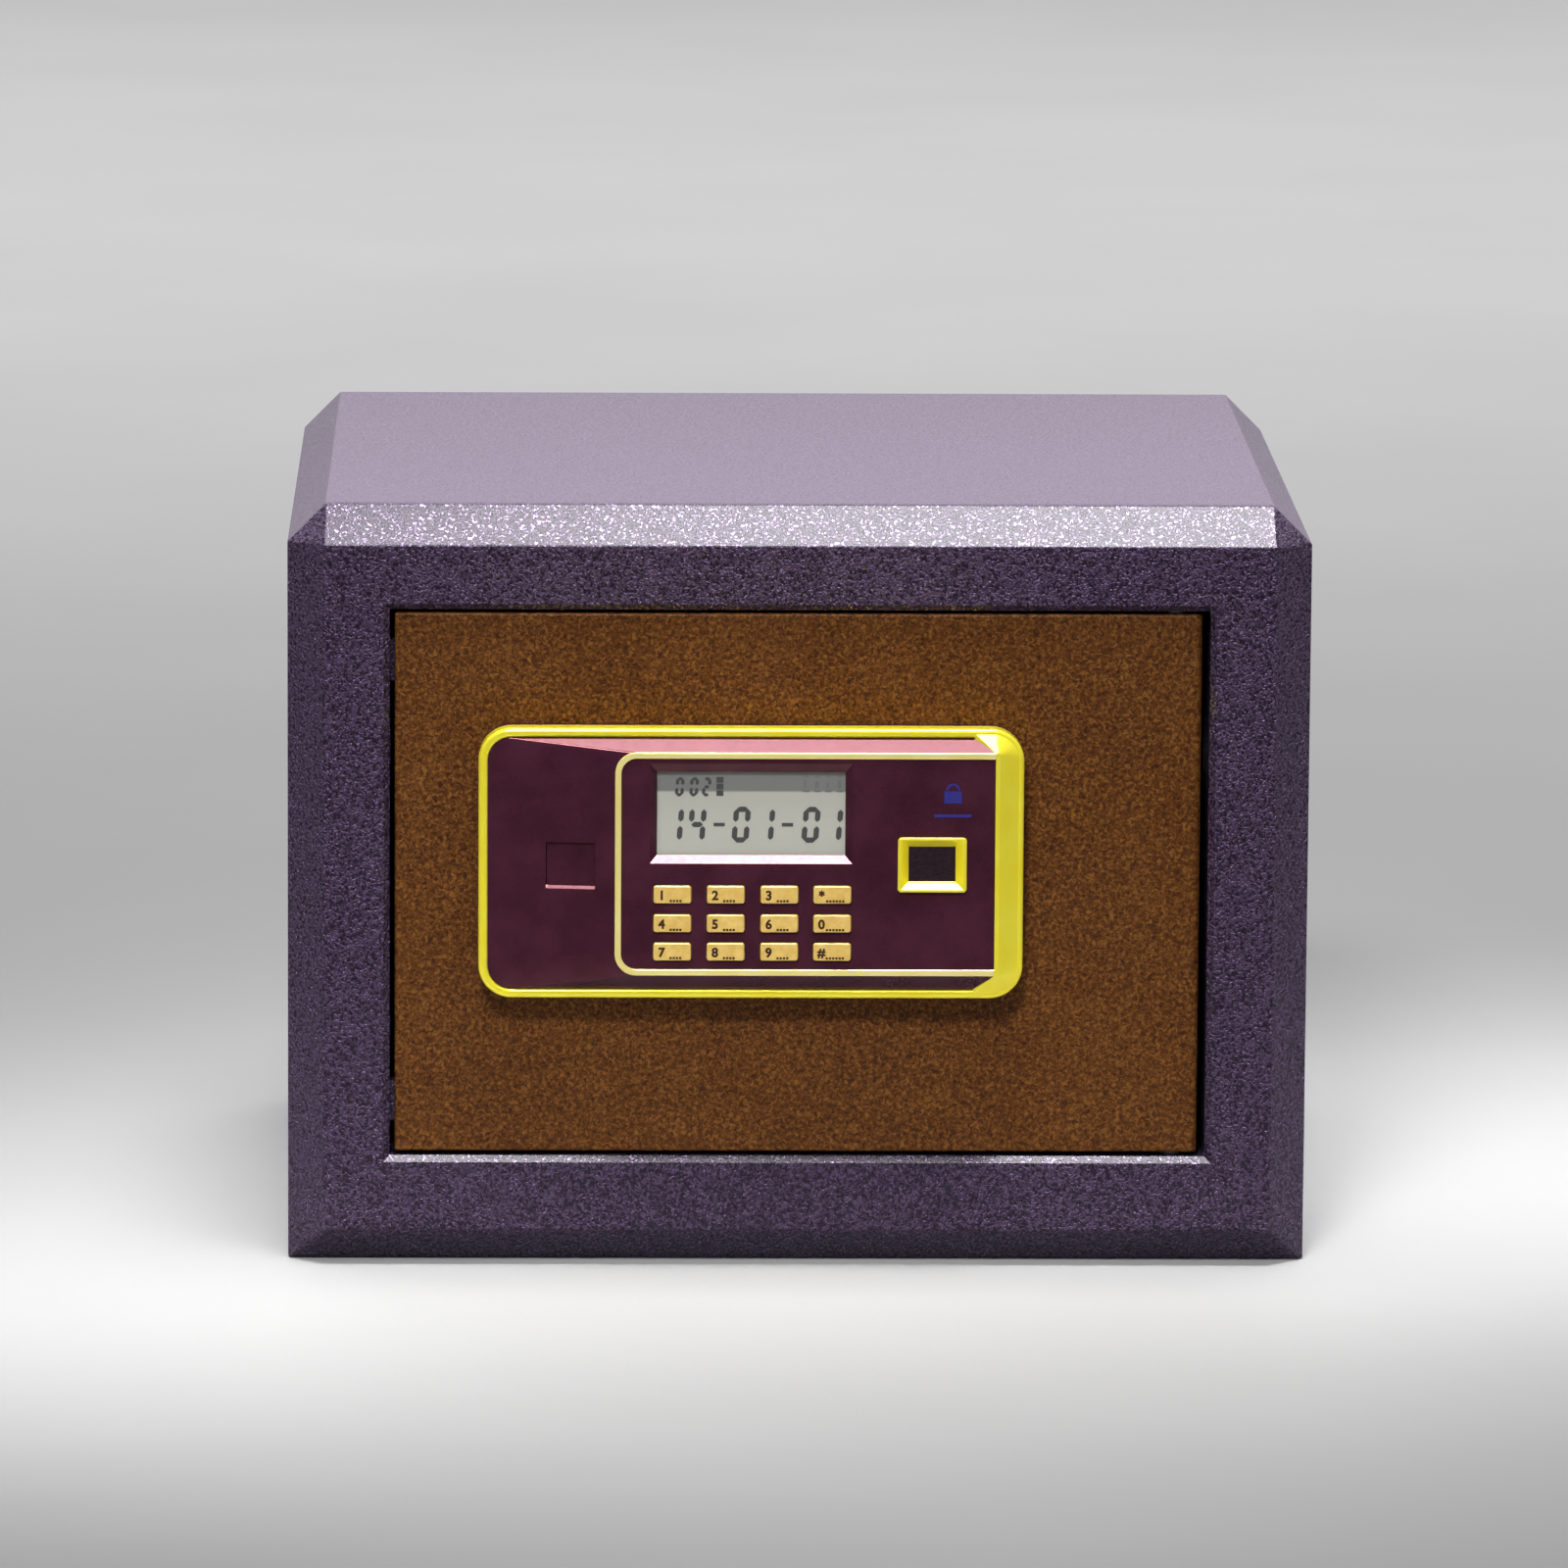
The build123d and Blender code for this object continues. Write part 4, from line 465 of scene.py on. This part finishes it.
def display_figures():
    """Date in large figures, a small counter with its block, and the faint icons at the top right."""
    y_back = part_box("lcd_module")[0].y - 0.02 * MM
    large = {"width": 6.7 * MM, "height": 14.2 * MM, "bar": 2.1 * MM}
    small = {"width": 3.4 * MM, "height": 7.6 * MM, "bar": 1.3 * MM}
    large_foot, small_foot = 170.6 * MM, 188.8 * MM
    dash_width, dash_foot, dash_top = 4.4, 177.0, 178.4
    block_left, block_right = -32.6, -29.9
    block_foot, block_pitch, block_height = 189.0, 2.6, 2.3
    shapes = []
    for character, left in zip("14-01-01", (-52.8, -44.0, -33.7, -26.8, -17.3, -7.1, 0.4, 9.2)):
        if character == "-":
            shapes.append(mm_box(left, left + dash_width, dash_foot, dash_top))
            continue
        for shape in seven_segment(character, **large):
            shapes.append(moved(shape, left * MM, large_foot))
    for character, left in zip("002", (-48.9, -43.3, -38.4)):
        for shape in seven_segment(character, **small):
            shapes.append(moved(shape, left * MM, small_foot))
    for row in range(3):
        foot = block_foot + block_pitch * row
        shapes.append(mm_box(block_left, block_right, foot, foot + block_height))
    piece("display_figures", flat_prints(shapes, y_back), SEGMENT, "door")
    icons = []
    icon_left, icon_pitch = 1.0, 4.4
    for i in range(4):
        x = (icon_left + icon_pitch * i) * MM
        stem = (0.4, 1.3 + 0.5 * (i % 2), 192.2, 195.4 - 0.6 * (i % 3))
        for x0, x1, z0, z1 in ((0.0, 2.6, 190.6, 191.3), stem, (0.2, 2.4, 196.4, 197.2)):
            icons.append(box_shape(x + x0 * MM, x + x1 * MM, z0 * MM, z1 * MM))
    piece("display_icons", flat_prints(icons, y_back), FAINT_SEGMENT, "door")


# --- Key figures ----------------------------------------------------------------------------

FIGURE_H = 5.0 * MM
STROKE_SHARE = 0.042


def figure_mesh(text, y_back, x, z):
    """Built-in-font figure as a thin mesh standing on the front-facing plane at y_back."""
    curve = bpy.data.curves.new("figure", "FONT")
    curve.body = text
    curve.size = FIGURE_H
    curve.align_x = "CENTER"
    curve.align_y = "CENTER"
    curve.extrude = FIGURE_T / 2
    curve.bevel_depth = FIGURE_H * STROKE_SHARE
    curve.bevel_resolution = 0
    holder = bpy.data.objects.new("figure", curve)
    bpy.context.scene.collection.objects.link(holder)
    bpy.context.view_layer.update()
    solid = holder.evaluated_get(bpy.context.evaluated_depsgraph_get())
    mesh = bpy.data.meshes.new_from_object(solid)
    bpy.data.objects.remove(holder)
    bpy.data.curves.remove(curve)
    depth = max(v.co.z for v in mesh.vertices) * 2
    place = Matrix.Translation((x, y_back - FIGURE_T / 2, z))
    mesh.transform(Matrix.Scale(FIGURE_T / depth, 4, (0, 0, 1)))
    mesh.transform(place @ Matrix.Rotation(math.pi / 2, 4, "X"))
    return mesh


def key_figures():
    """A figure at each key's left and a row of plain dashes at its lower right."""
    inset = 1.0 * MM
    figure_x, figure_z = 3.2 * MM, 3.1 * MM
    dash_pitch, dash_width = 1.25, 0.9 * MM
    dash_foot, dash_top = 0.6 * MM, 1.5 * MM
    long_row, short_row = (4.9, 6), (6.3, 4)
    figures = {digit: digit for digit in "0123456789"} | {"hash": "#", "star": "*"}
    for key, figure in figures.items():
        name = f"key_{key}"
        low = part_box(name)[0]
        x_left, z_foot = low.x + inset, low.z + inset
        mark = figure_mesh(figure, low.y, x_left + figure_x, z_foot + figure_z)
        piece(f"{name}_figure", mark, INK, name)
        first, count = long_row if key in ("0", "hash", "star") else short_row
        dashes = []
        for i in range(count):
            x = x_left + (first + dash_pitch * i) * MM
            dashes.append(box_shape(x, x + dash_width, z_foot + dash_foot, z_foot + dash_top))
        piece(f"{name}_dashes", flat_prints(dashes, low.y), INK, name)


# --- Printed padlock and bar ----------------------------------------------------------------


ARC_STEPS = 20


def arc(x, z, radius, start, end):
    angles = [start + (end - start) * i / ARC_STEPS for i in range(ARC_STEPS + 1)]
    return [(x + radius * math.cos(angle), z + radius * math.sin(angle)) for angle in angles]


def padlock_print():
    """Plain padlock pictogram and a plain bar, printed near the plateau's upper right corner."""
    x, z = 59.4 * MM, 190.4 * MM
    body_half, body_top = 3.4 * MM, 1.4 * MM
    shackle_rise, outer_r, inner_r = 1.8 * MM, 2.7 * MM, 1.8 * MM
    bar_half, bar_foot, bar_top = 7.2 * MM, 8.9 * MM, 7.7 * MM
    shapes = [box_shape(x - body_half, x + body_half, z - body_half, z + body_top)]
    outer = arc(x, z + shackle_rise, outer_r, 0, math.pi)
    inner = arc(x, z + shackle_rise, inner_r, math.pi, 0)
    for i in range(ARC_STEPS):
        shapes.append([outer[i], outer[i + 1], inner[ARC_STEPS - 1 - i], inner[ARC_STEPS - i]])
    shapes.append(box_shape(x - bar_half, x + bar_half, z - bar_foot, z - bar_top))
    piece("padlock_print", flat_prints(shapes, Y_PLATEAU), BLUE_PRINT, "door")


# --- Carpet mat -----------------------------------------------------------------------------

CARPET_STEP = 2.5 * MM
CARPET_HOLE_R = 11.0 * MM
CARPET_HOLES_X = (-100.0 * MM, 100.0 * MM)


def in_hole(x, y):
    return any(math.hypot(x - hole_x, y) < CARPET_HOLE_R for hole_x in CARPET_HOLES_X)


def to_hole_edge(x, y):
    """Moves a point near a hole's edge onto it, so that the hole is round."""
    reach = CARPET_STEP * 0.75
    for hole_x in CARPET_HOLES_X:
        away = math.hypot(x - hole_x, y)
        outside = CARPET_HOLE_R <= away < CARPET_HOLE_R + reach
        if outside or CARPET_HOLE_R - reach < away < CARPET_HOLE_R:
            x = hole_x + (x - hole_x) * CARPET_HOLE_R / away
            y = y * CARPET_HOLE_R / away
    return x, y


def pile_height(x, y):
    """Unevenness of the pile: a slow swell and a fine roughness."""
    swell = 0.28 * MM * noise.noise(Vector((x * 45, y * 45, 0)))
    return swell + 0.10 * MM * noise.noise(Vector((x * 400, y * 400, 3)))


def carpet():
    """Felt mat with a slightly uneven pile, soft edges and the two holes over the fixing bolts."""
    low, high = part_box("carpet_mat")
    trim, edge_drop = 0.4 * MM, 0.9 * MM
    columns = round((high.x - low.x) / CARPET_STEP)
    rows = round((high.y - low.y) / CARPET_STEP)
    mesh = bmesh.new()
    grid = {}
    for i in range(columns + 1):
        for j in range(rows + 1):
            x = low.x + i * (high.x - low.x) / columns
            y = low.y + j * (high.y - low.y) / rows
            x, y = to_hole_edge(x, y)
            edge = min(i, columns - i, j, rows - j) * CARPET_STEP
            drop = edge_drop * max(0.0, 1 - edge / (2 * CARPET_STEP)) ** 2
            grid[i, j] = mesh.verts.new((x, y, high.z - trim - drop + pile_height(x, y)))
    for i in range(columns):
        for j in range(rows):
            corners = [grid[i, j], grid[i + 1, j], grid[i + 1, j + 1], grid[i, j + 1]]
            centre = sum((v.co for v in corners), Vector()) / 4
            if not in_hole(centre.x, centre.y):
                mesh.faces.new(corners)
    loose = [v for v in mesh.verts if not v.link_faces]
    bmesh.ops.delete(mesh, geom=loose, context="VERTS")
    top = list(mesh.faces) + list(mesh.edges) + list(mesh.verts)
    bottom = bmesh.ops.duplicate(mesh, geom=top)
    low_verts = {g for g in bottom["geom"] if isinstance(g, bmesh.types.BMVert)}
    for vert in low_verts:
        vert.co.z = low.z
    low_faces = [g for g in bottom["geom"] if isinstance(g, bmesh.types.BMFace)]
    bmesh.ops.reverse_faces(mesh, faces=low_faces)
    twin = bottom["vert_map"]
    rim = [e for e in mesh.edges if e.is_boundary and e.verts[0] not in low_verts]
    for edge in rim:
        a, b = edge.verts
        mesh.faces.new((a, b, twin[b], twin[a]))
    bmesh.ops.recalc_face_normals(mesh, faces=mesh.faces)
    out = bpy.data.meshes.new("carpet_pile")
    mesh.to_mesh(out)
    mesh.free()
    for polygon in out.polygons:
        polygon.use_smooth = True
    mat = piece("carpet_pile", out, MATERIALS["carpet"], "cabinet")
    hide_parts("carpet_mat")


display_figures()
key_figures()
padlock_print()
carpet()

# --- Floor, light and camera ----------------------------------------------------------------


def floor():
    """Large pale ground, just under the safe."""
    half_size, gap = 60.0, 0.0002
    mesh = bmesh.new()
    bmesh.ops.create_grid(mesh, x_segments=1, y_segments=1, size=half_size)
    out = bpy.data.meshes.new("floor")
    mesh.to_mesh(out)
    mesh.free()
    paint = Paint("pale_floor", Roughness=0.9, Specular_IOR_Level=0.2)
    paint.ramp(paint.noise(3.0, 3.0), (0.3, (0.42, 0.42, 0.42)), (0.7, (0.44, 0.44, 0.44)))
    out.materials.append(paint.material)
    thing = bpy.data.objects.new("floor", out)
    bpy.context.scene.collection.objects.link(thing)
    thing.location.z = cad_low.z - gap


def softbox(name, place, target, width, height, watts, spread=180.0):
    """Rectangular light at a place, aimed at a target, with its spread in degrees."""
    light = bpy.data.lights.new(name, "AREA")
    light.shape = "RECTANGLE"
    light.size, light.size_y = width, height
    light.energy = watts
    light.spread = math.radians(spread)
    thing = bpy.data.objects.new(name, light)
    bpy.context.scene.collection.objects.link(thing)
    thing.location = place
    thing.rotation_euler = (Vector(target) - Vector(place)).to_track_quat("-Z", "Y").to_euler()


def studio_world():
    """Pale surroundings behind the object, dim overhead and dimmer on the camera's side."""
    world = bpy.data.worlds.new("studio")
    bpy.context.scene.world = world
    world.use_nodes = True
    tree = world.node_tree
    where = tree.nodes.new("ShaderNodeTexCoord")
    split = tree.nodes.new("ShaderNodeSeparateXYZ")
    tree.links.new(where.outputs["Generated"], split.inputs["Vector"])
    spread = tree.nodes.new("ShaderNodeMapRange")
    for socket, number in {"From Min": -1.0, "From Max": 1.0, "To Min": 0.0, "To Max": 1.0}.items():
        spread.inputs[socket].default_value = number
    tree.links.new(split.outputs["Y"], spread.inputs["Value"])
    ramp = tree.nodes.new("ShaderNodeValToRGB")
    stops = ((0.0, 0.10), (0.5, 0.20), (0.75, 0.42), (0.95, 0.82))
    while len(ramp.color_ramp.elements) < len(stops):
        ramp.color_ramp.elements.new(0.5)
    for element, (position, level) in zip(ramp.color_ramp.elements, stops):
        element.position = position
        element.color = (level, level * 0.97, level, 1)
    tree.links.new(spread.outputs["Result"], ramp.inputs["Fac"])
    tree.links.new(ramp.outputs["Color"], tree.nodes["Background"].inputs["Color"])


CAMERA_PLACE = (-0.1014, -4.5408, 0.9341)
CAMERA_YAW = math.radians(-1.249)
CAMERA_PITCH = math.radians(9.634)
CAMERA_ROLL = math.radians(0.358)
CAMERA_LENS = 260.9
CAMERA_SENSOR = 36.0
CAMERA_REACH = 200.0


def camera():
    """Long lens from the front, a little above and a little left of the middle."""
    yaw, pitch, roll = CAMERA_YAW, CAMERA_PITCH, CAMERA_ROLL
    data = bpy.data.cameras.new("camera")
    data.sensor_width = CAMERA_SENSOR
    data.lens = CAMERA_LENS
    data.clip_end = CAMERA_REACH
    thing = bpy.data.objects.new("camera", data)
    bpy.context.scene.collection.objects.link(thing)
    ahead, down = math.cos(pitch), math.sin(pitch)
    forward = Vector((-math.sin(yaw) * ahead, math.cos(yaw) * ahead, -down))
    level = forward.cross(Vector((0, 0, 1))).normalized()
    above = level.cross(forward)
    right = level * math.cos(roll) + above * math.sin(roll)
    up = above * math.cos(roll) - level * math.sin(roll)
    turn = Matrix((right, up, -forward)).transposed().to_4x4()
    thing.matrix_world = Matrix.Translation(CAMERA_PLACE) @ turn
    bpy.context.scene.camera = thing


floor()
studio_world()
softbox("strip", (0.16, -0.36, 1.50), (0.07, -0.12, 0.2), 1.30, 0.30, 1.9, 30)
softbox("overhead", (0.0, -0.05, 1.55), (0, -0.18, 0.2), 1.0, 0.35, 1.5, 60)
softbox("key", (-0.3, -1.9, 1.85), (0, -0.17, 0.14), 0.5, 0.4, 1.8, 30)
softbox("backdrop_lamp", (0.0, 3.4, 2.6), (0, 3.4, 0), 7.0, 4.0, 190)
camera()
bpy.context.scene.view_settings.view_transform = "Standard"
